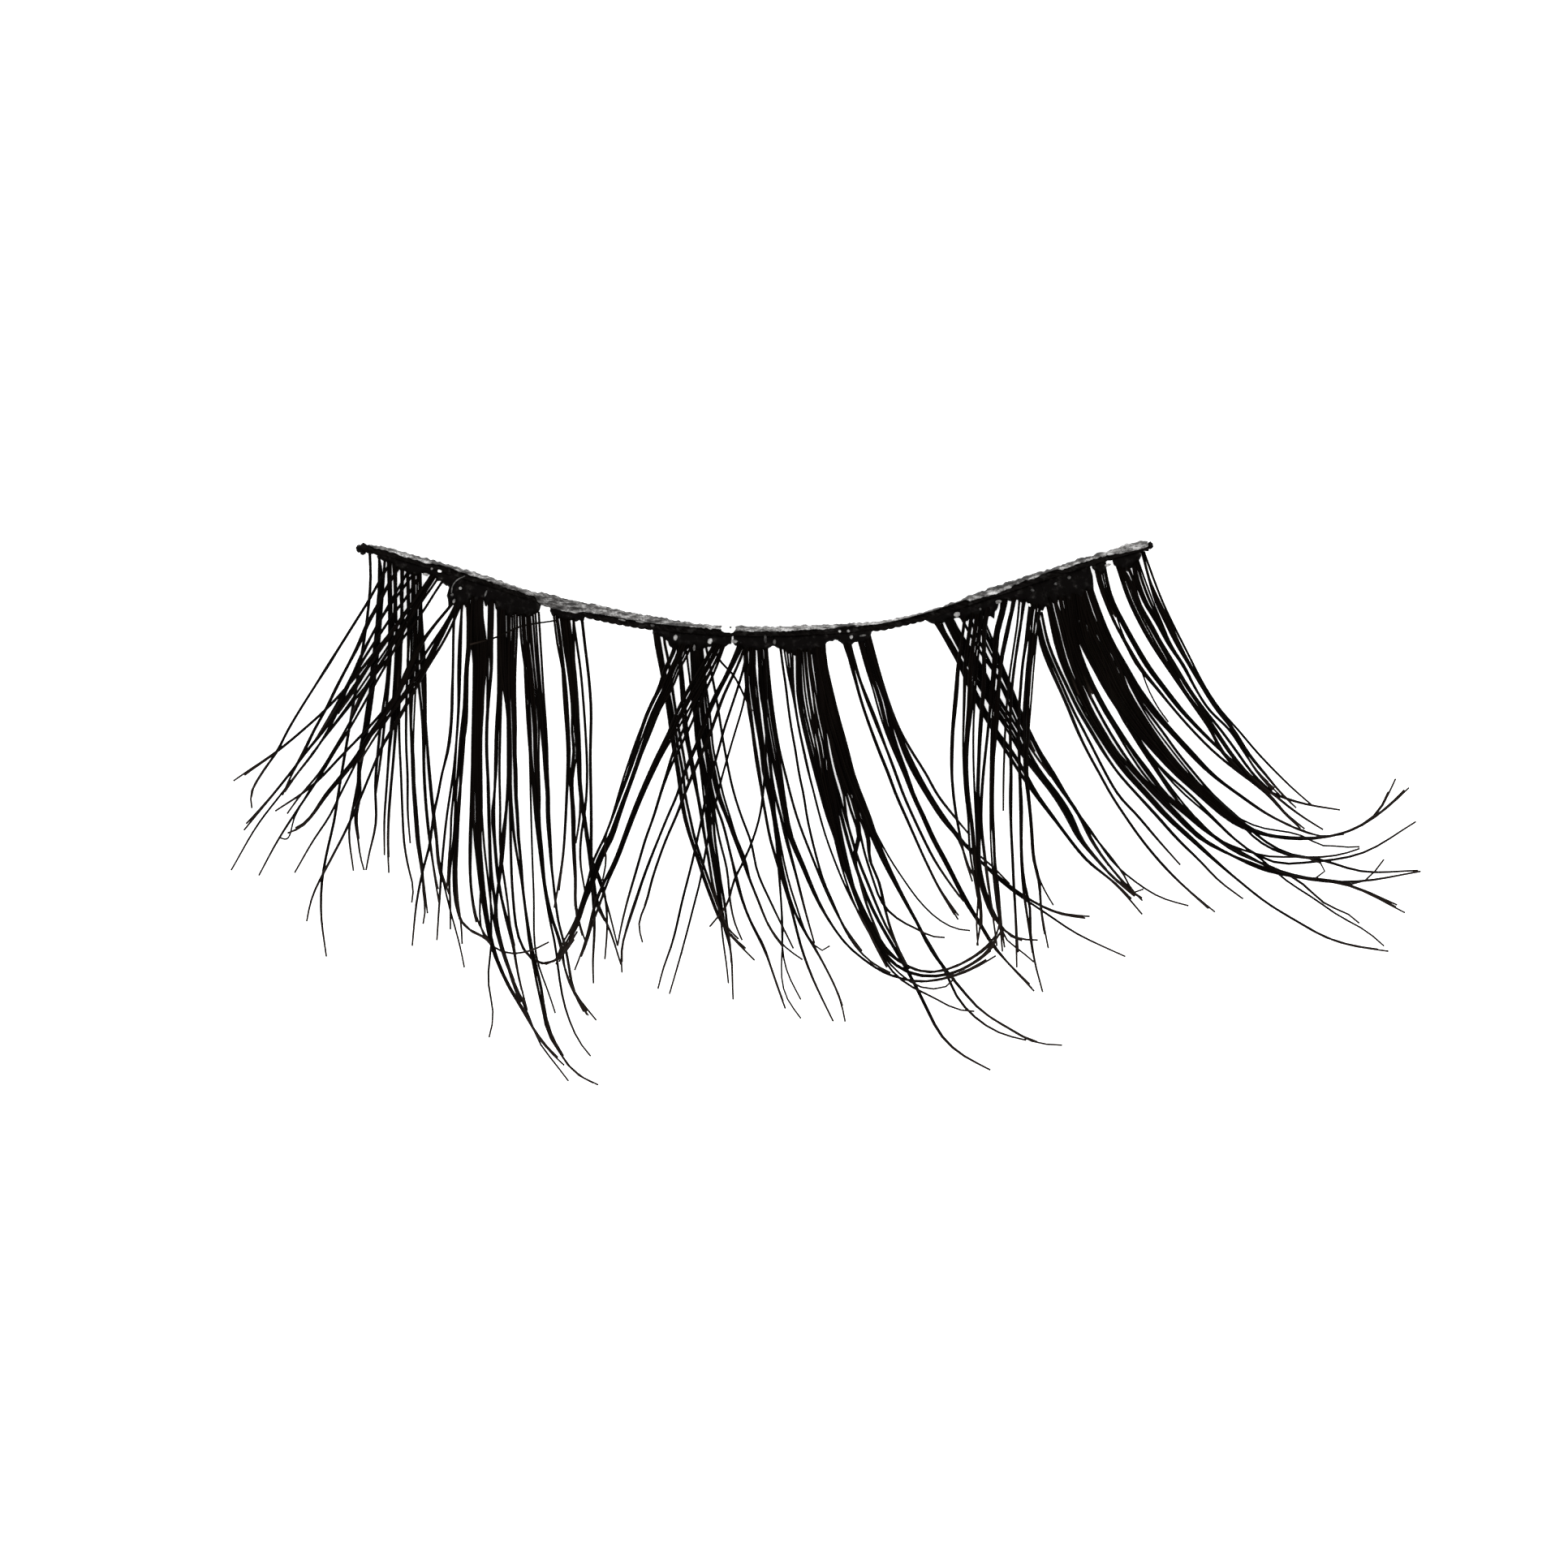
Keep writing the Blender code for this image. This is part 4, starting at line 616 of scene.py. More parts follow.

# The dried film: place along the band, its outer and inner edge in mm from the seam, how light
# it is from 0 to 1, and how dark its outer rim is: painted shade on the outer slope and underside.
Film = namedtuple("Film", "share outer inner light rim")
FILM = [
    Film(1.2, .40, .30, .30, .6), Film(3.2, .41, .26, .72, .5), Film(5, .40, .22, .78, .6),
    Film(8.6, .44, .22, .68, .6), Film(9.2, .44, .28, .22, .3), Film(10.6, .44, .30, .30, .3),
    Film(12.2, .45, .28, .55, .2), Film(15.8, .44, .24, .62, .2), Film(16.4, .43, .24, .45, .1),
    Film(19, .42, .22, .46, .0), Film(22, .44, .26, .44, .0), Film(22.6, .48, .10, .30, .0),
    Film(23.2, .54, .03, .30, .0), Film(25, .57, .04, .36, .0), Film(27.4, .60, .08, .34, .0),
    Film(28.2, .62, .24, .40, .0), Film(30, .66, .30, .54, .0), Film(33, .62, .32, .56, .0),
    Film(36.5, .62, .32, .48, .1), Film(40, .54, .32, .44, .1), Film(42, .46, .30, .56, .2),
    Film(45.5, .45, .28, .60, .2), Film(47.5, .46, .24, .62, .2), Film(52, .46, .24, .56, .2),
    Film(55, .46, .24, .66, .1), Film(60, .45, .26, .66, .1), Film(60.6, .44, .28, .12, .3),
    Film(62.2, .44, .28, .12, .3), Film(62.8, .42, .28, .80, .1), Film(67, .41, .32, .80, .1),
    Film(71.5, .38, .34, .40, .2), Film(74, .38, .34, .10, .2), Film(76.6, .40, .32, .10, .4),
    Film(77.2, .44, .20, .66, .9), Film(80, .46, .14, .60, .9), Film(82, .46, .16, .66, .9),
    Film(82.6, .45, .24, .26, .8), Film(84.4, .45, .28, .22, .8), Film(84.9, .45, .24, .80, .7),
    Film(86, .45, .26, .74, .7), Film(86.5, .43, .30, .16, .5), Film(88, .43, .30, .14, .5),
    Film(88.7, .44, .24, .74, .9), Film(93.4, .44, .26, .78, .9), Film(94.4, .42, .24, .72, .2),
    Film(95.6, .44, .20, .70, .2), Film(97, .50, .14, .66, .1), Film(98.6, .50, .14, .60, .1),
    Film(99.3, .48, .16, .50, .3), Film(99.7, .44, .20, .30, .5),
]

# Specks of dried glue among the roots: across, down, length along the band and width in mm,
# and how light each is.
SPECKS = [
    (9.2, 4.0, .11, .10, .40), (10.2, 4.4, .17, .12, .90), (8.5, 5.1, .24, .13, .60),
    (12.8, 7.6, .14, .12, .60), (12.0, 10.0, .11, .18, .40), (16.0, 8.6, .09, .26, .30),
    (11.8, 8.8, .12, .12, .30), (33.2, 13.5, .34, .07, .45), (35.4, 13.8, .36, .08, .50),
    (39.9, 16.8, .15, .26, .55), (42.3, 18.6, .10, .24, .40), (44.3, 17.4, .20, .24, .60),
    (47.3, 17.5, .24, .14, .50), (51.2, 17.0, .12, .34, .10), (52.4, 17.6, .14, .20, .22),
    (60.6, 15.6, .12, .11, .60), (61.7, 15.5, .12, .11, .50), (62.1, 16.7, .14, .15, .60),
    (63.5, 16.4, .28, .10, .25), (75.3, 12.5, .26, .20, .50), (78.3, 11.5, .11, .11, .20),
    (78.7, 13.1, .08, .20, .30), (80.6, 10.1, .28, .16, .45), (84.5, 10.7, .10, .15, .90),
    (84.9, 8.0, .18, .14, .16), (87.8, 6.8, .14, .12, .20), (89.5, 5.6, .14, .14, .18),
    (94.4, 3.3, .24, .12, .55), (37.0, 14.5, .16, .12, .14),
]

# The thin drip of glue: places across and down, and its radius in mm
DRIP = [(13.4, 5.3), (12.3, 6.2), (11.8, 7.3), (11.7, 8.5)]
DRIP_RADIUS_MM = 0.024

# The turned knots at the band's ends: place along the band, and in mm how far out the middle
# lies and the size along, across and up.
KNOTS = [(.0, .24, (.30, .26, .42)), (.6, .26, (.42, .38, .44)), (.5, .10, (.22, .20, .36)),
         (1.3, .24, (.34, .32, .42)), (99.9, .36, (.22, .32, .42)), (99.4, .28, (.26, .20, .40))]

# The bead's lumps: middle and size in mm, rings, sides and roughness. The pit is the dark speck.
BEAD_PLACE = (46.55, 15.1)
BEAD_LUMPS = [((0, 0, .04), (.60, .32, .22), 9, 18, .08),
              ((-.15, .03, .05), (.26, .20, .20), 8, 14, .10),
              ((.13, -.05, .04), (.28, .26, .20), 8, 14, .10)]
BEAD_PIT = ((.09, .05, .13), (.11, .12, .08), 7, 12, .2)


def spot(across, down, height=0.0):
    """The point in millimetres at a percent across and a percent down the plan."""
    return np.array([
        LEFT_END_MM[0] + CHORD_MM * across / 100.0,
        LEFT_END_MM[1] - REACH_MM * down / 100.0,
        height,
    ])


def seam(share):
    """The band's lower edge at a percent along it."""
    s = share / 100.0
    phase = math.pi * (s - SKEW * math.sin(math.pi * s))
    sag = SAG_MM * max(math.sin(phase), 0.0) ** BELLY
    return spot(share, 0.0) + np.array([0.0, -SEAM_DROP_MM - sag, 0.0])


def seam_frame(share):
    """The directions along and out across the band at a percent along it."""
    middle = min(max(share, 0.5), 99.5)
    along = seam(middle + 0.5) - seam(middle - 0.5)
    along /= np.linalg.norm(along)
    return along, np.array([-along[1], along[0], 0.0])


def seam_turn(share):
    along = seam_frame(share)[0]
    return math.atan2(along[1], along[0])


def band_spot(share, outward, height):
    return seam(share) + seam_frame(share)[1] * outward + np.array([0.0, 0.0, height])


def sway(share):
    """How far the band lies out from its even arc at a percent along it."""
    return float(np.interp(share, *zip(*SWAY_MM)))


def smooth(t):
    t = np.clip(t, 0.0, 1.0)
    return t * t * (3.0 - 2.0 * t)


def curve_through(points, count):
    """A smooth curve through points of any dimension, read at even steps along its plan."""
    points = np.array(points, float)
    if len(points) < 3:
        points = np.insert(points, 1, points.mean(axis=0), axis=0)
    lengths = np.linalg.norm(np.diff(points[:, :2], axis=0), axis=1)
    knots = np.concatenate([[0.0], np.cumsum(lengths)])
    slopes = np.gradient(points, knots, axis=0)
    at = np.linspace(0.0, knots[-1], count)
    k = np.clip(np.searchsorted(knots, at, side="right") - 1, 0, len(knots) - 2)
    step = (knots[k + 1] - knots[k])[:, None]
    t = (at[:, None] - knots[k][:, None]) / step
    return (
        points[k] * (2 * t ** 3 - 3 * t ** 2 + 1)
        + slopes[k] * step * (t ** 3 - 2 * t ** 2 + t)
        + points[k + 1] * (-2 * t ** 3 + 3 * t ** 2)
        + slopes[k + 1] * step * (t ** 3 - t ** 2)
    )


def relax(line, passes):
    """Takes the small kinks out of a line and keeps its ends."""
    for _ in range(passes):
        line[1:-1] += 0.5 * ((line[:-2] + line[2:]) / 2.0 - line[1:-1])
    return line


class Shape:
    """Collects closed tubes, lofts and lumps in millimetres into one mesh."""

    def __init__(self):
        self.points, self.faces, self.along, self.tone = [], [], [], []
        self.count = 0

    def loft(self, rings, along=None, tone=0.5):
        """A closed body through rings of equal count."""
        rings = np.array(rings)
        n, sides = rings.shape[:2]
        base = self.count
        self.points.append(rings.reshape(-1, 3))
        along = np.zeros(n) if along is None else along
        self.along.append(np.repeat(along, sides))
        self.tone.append(np.broadcast_to(tone, (n, sides)).reshape(-1))
        for r in range(n - 1):
            a = base + r * sides
            for i in range(sides):
                j = (i + 1) % sides
                self.faces.append((a + i, a + j, a + sides + j, a + sides + i))
        self.faces.append(tuple(base + i for i in reversed(range(sides))))
        self.faces.append(tuple(base + (n - 1) * sides + i for i in range(sides)))
        self.count += n * sides

    def tube(self, line, radii, sides, along=None, tone=0.5):
        line = np.array(line)
        radii = np.broadcast_to(radii, len(line))
        ahead = np.gradient(line, axis=0)
        ahead /= np.linalg.norm(ahead, axis=1)[:, None]
        across = np.cross(ahead, [0.0, 0.0, 1.0])
        across /= np.maximum(np.linalg.norm(across, axis=1), 1e-9)[:, None]
        up = np.cross(across, ahead)
        turn = np.arange(sides) * 2.0 * math.pi / sides
        rings = (
            line[:, None, :]
            + radii[:, None, None] * np.cos(turn)[None, :, None] * across[:, None, :]
            + radii[:, None, None] * np.sin(turn)[None, :, None] * up[:, None, :]
        )
        self.loft(rings, along, tone)

    def lump(self, centre, size, rng, rows=7, sides=12, rough=0.12, turn=0.0, tone=0.5):
        """A closed, uneven rounded lump with its sizes along x, y and z."""
        bumps = rng.uniform(-1.0, 1.0, (rows, sides))
        bumps = (bumps + np.roll(bumps, 1, axis=1) + np.roll(bumps, -1, axis=1)) / 3.0
        rings = []
        for r in range(rows):
            tilt = math.pi * (r + 0.5) / rows
            ring = []
            for i in range(sides):
                a = 2.0 * math.pi * i / sides
                grow = 1.0 + rough * 2.0 * bumps[r, i]
                x = math.sin(tilt) * math.cos(a) * size[0] / 2.0 * grow
                y = math.sin(tilt) * math.sin(a) * size[1] / 2.0 * grow
                ring.append([
                    centre[0] + x * math.cos(turn) - y * math.sin(turn),
                    centre[1] + x * math.sin(turn) + y * math.cos(turn),
                    centre[2] + math.cos(tilt) * size[2] / 2.0,
                ])
            rings.append(ring)
        self.loft(rings[::-1], tone=tone)

    def piece(self, name, material, slot, *nodes):
        """Makes the object, which rides on the part and stands for the nodes, if any."""
        mesh = bpy.data.meshes.new(name)
        mesh.from_pydata((np.concatenate(self.points) * MM).tolist(), [], self.faces)
        solid = bmesh.new()
        solid.from_mesh(mesh)
        bmesh.ops.recalc_face_normals(solid, faces=solid.faces)
        solid.to_mesh(mesh)
        solid.free()
        for label, values in (("along", self.along), ("tone", self.tone)):
            layer = mesh.attributes.new(label, "FLOAT", "POINT")
            layer.data.foreach_set("value", np.concatenate(values).astype(np.float32))
        mesh.shade_smooth()
        mesh.materials.append(material)
        obj = bpy.data.objects.new(name, mesh)
        bpy.context.scene.collection.objects.link(obj)
        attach(obj, "root")
        if nodes:
            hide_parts(*nodes)


# Materials

def new_material(name, roughness, specular=0.5):
    material = bpy.data.materials.new(name)
    material.use_nodes = True
    shader = material.node_tree.nodes["Principled BSDF"]
    shader.inputs["Roughness"].default_value = roughness
    shader.inputs["Specular IOR Level"].default_value = specular
    return material, material.node_tree, shader


def noise(tree, scale, detail=3.0, stretch=None, rough=0.55):
    texture = tree.nodes.new("ShaderNodeTexNoise")
    texture.inputs["Scale"].default_value = scale
    texture.inputs["Detail"].default_value = detail
    texture.inputs["Roughness"].default_value = rough
    place = tree.nodes.new("ShaderNodeTexCoord").outputs["Object"]
    if stretch:
        mapping = tree.nodes.new("ShaderNodeMapping")
        mapping.inputs["Scale"].default_value = stretch
        tree.links.new(place, mapping.inputs["Vector"])
        place = mapping.outputs["Vector"]
    tree.links.new(place, texture.inputs["Vector"])
    return texture.outputs["Fac"]


def ramp(tree, value, stops):
    node = tree.nodes.new("ShaderNodeValToRGB")
    elements = node.color_ramp.elements
    while len(elements) < len(stops):
        elements.new(0.5)
    for element, (place, colour) in zip(elements, stops):
        element.position = place
        element.color = (*colour, 1.0)
    tree.links.new(value, node.inputs["Fac"])
    return node.outputs["Color"]


def mix(tree, factor, first, second):
    node = tree.nodes.new("ShaderNodeMix")
    node.data_type = "RGBA"
    tree.links.new(factor, node.inputs["Factor"])
    for socket, value in ((node.inputs["A"], first), (node.inputs["B"], second)):
        if isinstance(value, tuple):
            socket.default_value = (*value, 1.0)
        else:
            tree.links.new(value, socket)
    return node.outputs["Result"]


def spread(tree, value, low, high, to_low, to_high):
    node = tree.nodes.new("ShaderNodeMapRange")
    ends = {"From Min": low, "From Max": high, "To Min": to_low, "To Max": to_high}
    for name, number in ends.items():
        node.inputs[name].default_value = number
    tree.links.new(value, node.inputs["Value"])
    return node.outputs["Result"]


def total(tree, first, second):
    node = tree.nodes.new("ShaderNodeMath")
    node.operation = "ADD"
    tree.links.new(first, node.inputs[0])
    tree.links.new(second, node.inputs[1])
    return node.outputs["Value"]


def bump(tree, shader, value, strength, distance):
    node = tree.nodes.new("ShaderNodeBump")
    node.inputs["Strength"].default_value = strength
    node.inputs["Distance"].default_value = distance
    tree.links.new(value, node.inputs["Height"])
    tree.links.new(node.outputs["Normal"], shader.inputs["Normal"])


def attribute(tree, name):
    node = tree.nodes.new("ShaderNodeAttribute")
    node.attribute_name = name
    return node.outputs["Fac"]


def hair_material():
    material, tree, shader = new_material("lash_hair", 0.5, 0.01)
    body = ramp(tree, attribute(tree, "tone"),
                [(0.0, (.0005, .0002, .0001)), (1.0, (.0014, .0008, .0005))])
    streak = noise(tree, 2600.0, 4.0, (1.0, 0.12, 1.0))
    body = mix(tree, spread(tree, streak, 0.45, 0.80, 0.0, 0.6), body, (.0030, .0022, .0018))
    tip = spread(tree, attribute(tree, "along"), 0.80, 1.0, 0.0, 0.7)
    tree.links.new(mix(tree, tip, body, (.014, .010, .008)), shader.inputs["Base Color"])
    tree.links.new(spread(tree, streak, 0.3, 0.7, 0.40, 0.62), shader.inputs["Roughness"])
    bump(tree, shader, noise(tree, 30000.0, 2.0, (1.0, 0.3, 1.0)), 0.25, 0.000004)
    return material


def root_material():
    material, tree, shader = new_material("glued_roots", 0.45, 0.02)
    patch = noise(tree, 3600.0, 5.0)
    fine = noise(tree, 12000.0, 3.0)
    dark = ramp(tree, patch, [(0.54, (.0006, .0003, .0002)), (0.66, (.0040, .0034, .0030)),
                              (0.80, (.030, .028, .027))])
    speck = spread(tree, fine, 0.70, 0.80, 0.0, 0.35)
    tree.links.new(mix(tree, speck, dark, (.075, .072, .070)), shader.inputs["Base Color"])
    tree.links.new(spread(tree, patch, 0.4, 0.7, 0.6, 0.35), shader.inputs["Roughness"])
    bump(tree, shader, fine, 0.5, 0.00002)
    return material


def thread_material():
    material, tree, shader = new_material("band_thread", 0.72, 0.02)
    fibre = noise(tree, 9000.0, 4.0, (0.25, 1.0, 1.0))
    patch = noise(tree, 2200.0, 3.0)
    # The lighter fibre streaks are a painted sheen, and the grey patches painted highlights off
    # glue.
    base = ramp(tree, fibre, [(0.40, (.0006, .0003, .0002)), (0.75, (.0050, .0042, .0038))])
    glint_patches = spread(tree, patch, 0.56, 0.74, 0.0, 0.6)
    tree.links.new(mix(tree, glint_patches, base, (.020, .019, .018)), shader.inputs["Base Color"])
    tree.links.new(spread(tree, fibre, 0.3, 0.7, 0.62, 0.85), shader.inputs["Roughness"])
    bump(tree, shader, fibre, 0.8, 0.00002)
    return material


def film_material():
    """Light where the tone is high, broken by streaks along the band and by dark grains."""
    material, tree, shader = new_material("adhesive_film", 0.45, 0.12)
    streak = noise(tree, 5600.0, 5.0, (0.35, 1.0, 1.0), 0.7)
    grain = noise(tree, 11000.0, 4.0, None, 0.7)
    # The tone carries the painted shade of the film's outer slope and underside.
    light = total(tree, attribute(tree, "tone"), spread(tree, streak, 0.36, 0.64, -0.42, 0.38))
    base = ramp(tree, light, [(0.05, (.003, .0025, .0022)), (0.32, (.040, .038, .037)),
                              (0.60, (.150, .147, .144)), (0.95, (.380, .376, .372))])
    dark = spread(tree, grain, 0.50, 0.60, 0.0, 0.72)
    tree.links.new(mix(tree, dark, base, (.018, .017, .016)), shader.inputs["Base Color"])
    tree.links.new(spread(tree, grain, 0.3, 0.7, 0.35, 0.62), shader.inputs["Roughness"])
    bump(tree, shader, grain, 0.6, 0.00002)
    return material


def glue_material(name, low, high):
    material, tree, shader = new_material(name, 0.3, 0.5)
    cloud = noise(tree, 6000.0, 4.0)
    tree.links.new(ramp(tree, cloud, [(0.35, low), (0.62, high)]), shader.inputs["Base Color"])
    tree.links.new(spread(tree, cloud, 0.3, 0.7, 0.2, 0.42), shader.inputs["Roughness"])
    bump(tree, shader, noise(tree, 16000.0, 2.0), 0.4, 0.00001)
    return material


def speck_material():
    material, tree, shader = new_material("glue_specks", 0.4, 0.12)
    cloud = noise(tree, 9000.0, 4.0)
    light = total(tree, attribute(tree, "tone"), spread(tree, cloud, 0.3, 0.7, -0.16, 0.16))
    tree.links.new(ramp(tree, light, [(0.05, (.006, .005, .005)), (0.35, (.060, .058, .056)),
                                      (0.65, (.24, .235, .23)), (1.0, (.75, .75, .74))]),
                   shader.inputs["Base Color"])
    tree.links.new(spread(tree, cloud, 0.3, 0.7, 0.3, 0.55), shader.inputs["Roughness"])
    bump(tree, shader, cloud, 0.4, 0.00001)
    return material


# Pieces

def tuft_path(tuft):
    """The tuft's plan line and its width in mm, read at even steps."""
    given = [i for i, point in enumerate(tuft.path) if len(point) == 3]
    widths = np.zeros(len(tuft.path))
    if given:
        widths = np.interp(range(len(tuft.path)), given, [tuft.path[i][2] for i in given])
    points = [(*spot(point[0], point[1])[:2], CHORD_MM * width / 100.0)
              for point, width in zip(tuft.path, widths)]
    line = relax(curve_through(points, PATH_STEPS), 5)
    return line[:, :2], line[:, 2]


def tuft_hairs(shape, tuft, rng):
    """Single hairs side by side along the tuft's path, some crossing over to another place."""
    path, width = tuft_path(tuft)
    ahead = np.gradient(path, axis=0)
    ahead /= np.linalg.norm(ahead, axis=1)[:, None]
    side = np.stack([-ahead[:, 1], ahead[:, 0]], axis=1)
    length = np.concatenate([[0.0], np.cumsum(np.linalg.norm(np.diff(path, axis=0), axis=1))])
    t = length / length[-1]
    room = np.maximum(width * np.maximum(np.abs(ahead[:, 1]), LEAST_LEAN) - tuft.width, 0.0)
    lying = FIRST_LAYER_MM + tuft.layer * LAYER_MM
    height = CUFF_HEIGHT_MM / 2.0 + (lying - CUFF_HEIGHT_MM / 2.0) * smooth(length / RISE_MM)
    height = height + np.maximum(length - FLAT_MM, 0.0) ** 2 / (2.0 * CURL_RADIUS_MM)
    longest = tuft.hairs // 2
    thick = tuft.width * (BUNDLE_SWELL if tuft.hairs > BUNDLE_OVER else LOOSE_SWELL)
    for i in range(tuft.hairs):
        place, later, end, flick = 0.0, 0.0, 1.0, 0.0
        if tuft.hairs > 1:
            place = i / (tuft.hairs - 1) - 0.5
            later = np.clip(place + rng.uniform(-STRAY, STRAY), -0.5, 0.5)
            if 0 < i < tuft.hairs - 1:
                place += rng.uniform(-OFF_SPACING, OFF_SPACING) / tuft.hairs
            flick = rng.uniform(-FLICK_MM, FLICK_MM)
            if i != longest:
                end = 1.0 - rng.uniform(0.0, tuft.ragged)
        crossed = smooth((t - rng.uniform(*CROSS_FROM)) / CROSS_SPAN)
        wave = rng.uniform(-WAVE_MM, WAVE_MM) * np.sin(math.pi * t * rng.uniform(1.0, 2.5))
        across = (place + (later - place) * crossed) * room + wave
        across = across + flick * (np.maximum(t - FLICK_FROM, 0.0) / (1.0 - FLICK_FROM)) ** 2
        lift = rng.uniform(-LIFT_MM, LIFT_MM)
        raised = height + lift * smooth(length / RISE_MM)
        line = np.column_stack([path + side * across[:, None], raised])
        last = max(int(end * (len(line) - 1)), 8)
        keep = np.unique(np.round(np.linspace(0, last, HAIR_RINGS)).astype(int))
        steps = length[keep] / length[keep][-1]
        full = thick * rng.uniform(0.90, 1.10)
        thinned = smooth((steps - HOLD) / (TAPER_END - HOLD))
        radii = (TIP_MM + (full - TIP_MM) * (1.0 - thinned)) / 2.0
        shape.tube(line[keep], radii, HAIR_SIDES, steps, rng.uniform(0.0, 1.0))


def make_hair(name, tufts, material, seed):
    shape = Shape()
    rng = np.random.default_rng(seed)
    for tuft in tufts:
        tuft_hairs(shape, tuft, rng)
    shape.piece("hair_" + name, material, "lash_hair", "lashes_" + name)


def make_roots(name, table, material, seed):
    """The lumpy bar of glue and knotted hair under the seam."""
    rng = np.random.default_rng(seed)
    table = np.array(table)
    length = CHORD_MM * (table[-1, 0] - table[0, 0]) / 100.0
    count = max(LEAST_ROOT_STEPS, int(length / ROOT_STEP_MM))
    shares = np.linspace(table[0, 0], table[-1, 0], count + 1)
    ragged = relax(rng.uniform(-1.0, 1.0, count + 1), 1)
    swell = relax(rng.uniform(-1.0, 1.0, count + 1), 3)
    deep = np.interp(shares, table[:, 0], table[:, 1]) * (1.0 + 0.22 * ragged) + 0.02 * ragged
    rings = []
    for share, far, grow in zip(shares, -np.maximum(deep, 0.02), swell):
        near = 0.06 + max(sway(share), 0.0)
        top = CUFF_HEIGHT_MM * (0.92 + 0.10 * grow)
        profile = [
            (near, 0.03), (near + 0.02, top * 0.5), (near, top * 0.95),
            (near + (far - near) * 0.30, top), (near + (far - near) * 0.62, top * 0.92),
            (near + (far - near) * 0.86, top * 0.72), (far, top * 0.45),
            (near + (far - near) * 0.90, 0.06), (near + (far - near) * 0.55, 0.02),
        ]
        rings.append([band_spot(share, out, height) for out, height in profile])
    shape = Shape()
    shape.loft(rings)
    shape.piece("roots_" + name, material, "lash_hair", "lashes_" + name)


def make_band(material):
    """Plies of thread wound on a core, ending in a turned knot at either end."""
    shape = Shape()
    rng = np.random.default_rng(7)
    shares = np.linspace(0.6, 99.6, THREAD_RINGS)
    middle, rise = BAND_WIDTH_MM / 2.0, BAND_HEIGHT_MM / 2.0
    uneven = 1.0 + 0.05 * relax(rng.uniform(-1.0, 1.0, len(shares)), 4)
    for ply in range(PLIES):
        rings = []
        for share, grow in zip(shares, uneven):
            turn = 2.0 * math.pi * (share / 100.0 * PLY_TURNS + ply / PLIES)
            ring = []
            for i in range(PLY_SIDES):
                a = 2.0 * math.pi * i / PLY_SIDES
                out = PLY_OUT * math.cos(turn) + PLY_RADIUS * math.cos(a)
                high = PLY_OUT * math.sin(turn) + PLY_RADIUS * math.sin(a)
                outward = sway(share) + middle * (1.0 + out * grow)
                ring.append(band_spot(share, outward, rise * (1.0 + high)))
            rings.append(ring)
        shape.loft(rings)
    corners = ((-1, -1), (1, -1), (1, 1), (-1, 1))
    shape.loft([[band_spot(share, sway(share) + middle * (1.0 + CORE_HALF * x),
                           rise * (1.0 + CORE_HALF * y)) for x, y in corners]
                for share in shares[::CORE_EVERY]])
    for share, outward, size in KNOTS:
        shape.lump(band_spot(share, outward, rise), size, rng, 8, 14, 0.3, seam_turn(share))
    shape.piece("thread_band", material, "band_thread", "band_thread")


def make_film(material):
    """The skin of dried adhesive over the band's upper edge, ragged on both sides."""
    rng = np.random.default_rng(11)
    table = np.array(FILM)
    shares = np.arange(table[0, 0], table[-1, 0], FILM_STEP)
    outer, inner, light, rim_shade = [np.interp(shares, table[:, 0], table[:, c]) for c in (1, 2, 3, 4)]
    outer = outer + FILM_RAGGED_MM[0] * relax(rng.uniform(-1.0, 1.0, len(shares)), 1)
    inner = inner + FILM_RAGGED_MM[1] * relax(rng.uniform(-1.0, 1.0, len(shares)), 1)
    edge = BAND_WIDTH_MM
    rings, tones = [], []
    for share, out, back, lit, dark in zip(shares, outer, inner, light, rim_shade):
        back = min(back, edge - 0.02)
        top = BAND_HEIGHT_MM + 0.035 + 0.012 * rng.uniform(-1.0, 1.0)
        profile = [
            (back, BAND_HEIGHT_MM + 0.01), (back + 0.02, top), ((back + edge) / 2.0, top + 0.01),
            (edge, top - 0.03), ((edge + out) / 2.0, top - 0.12), (out, 0.24),
            (out - 0.01, 0.16), (edge + 0.01, 0.20), (edge - 0.04, 0.36),
            ((back + edge) / 2.0, BAND_HEIGHT_MM - 0.06),
        ]
        rings.append([band_spot(share, sway(share) + o, z) for o, z in profile])
        # Painted shade: darker outer slope and underside, and a darker inner lower edge
        shaded_tone = lit * (1.0 - dark)
        tones.append([lit * 0.8, lit, lit, lit * (1.0 - dark / 2.0)] + [shaded_tone] * 6)
    shape = Shape()
    shape.loft(rings, tone=tones)
    shape.piece("film_skin", material, "adhesive_film", "adhesive_film")


def make_bead(material, dark):
    """The clear bead of glue on the band, painted near white as its highlight, with its dark pit.
    """
    rng = np.random.default_rng(3)
    at = spot(*BEAD_PLACE)
    low = BAND_HEIGHT_MM + 0.06
    dome, pit = Shape(), Shape()
    for shape, lumps in ((dome, BEAD_LUMPS), (pit, [BEAD_PIT])):
        for (x, y, z), size, rows, sides, rough in lumps:
            shape.lump(at + [x, y, low + z], size, rng, rows, sides, rough)
    dome.piece("bead_dome", material, "glue_bead", "glue_bead")
    pit.piece("bead_speck", dark, "glue_bead")


def make_specks(material):
    """The specks of glue among the roots, and the thin drip."""
    rng = np.random.default_rng(5)
    shape = Shape()
    for across, down, long, wide, light in SPECKS:
        at = spot(across, down, CUFF_HEIGHT_MM + 0.02)
        shape.lump(at, (long, wide, 0.10), rng, 6, 12, 0.25, seam_turn(across), light)
    drip = relax(curve_through([spot(a, d, CUFF_HEIGHT_MM) for a, d in DRIP], 24), 2)
    shape.tube(drip, DRIP_RADIUS_MM, 6, tone=0.30)
    shape.piece("glue_specks", material, "glue_bead")


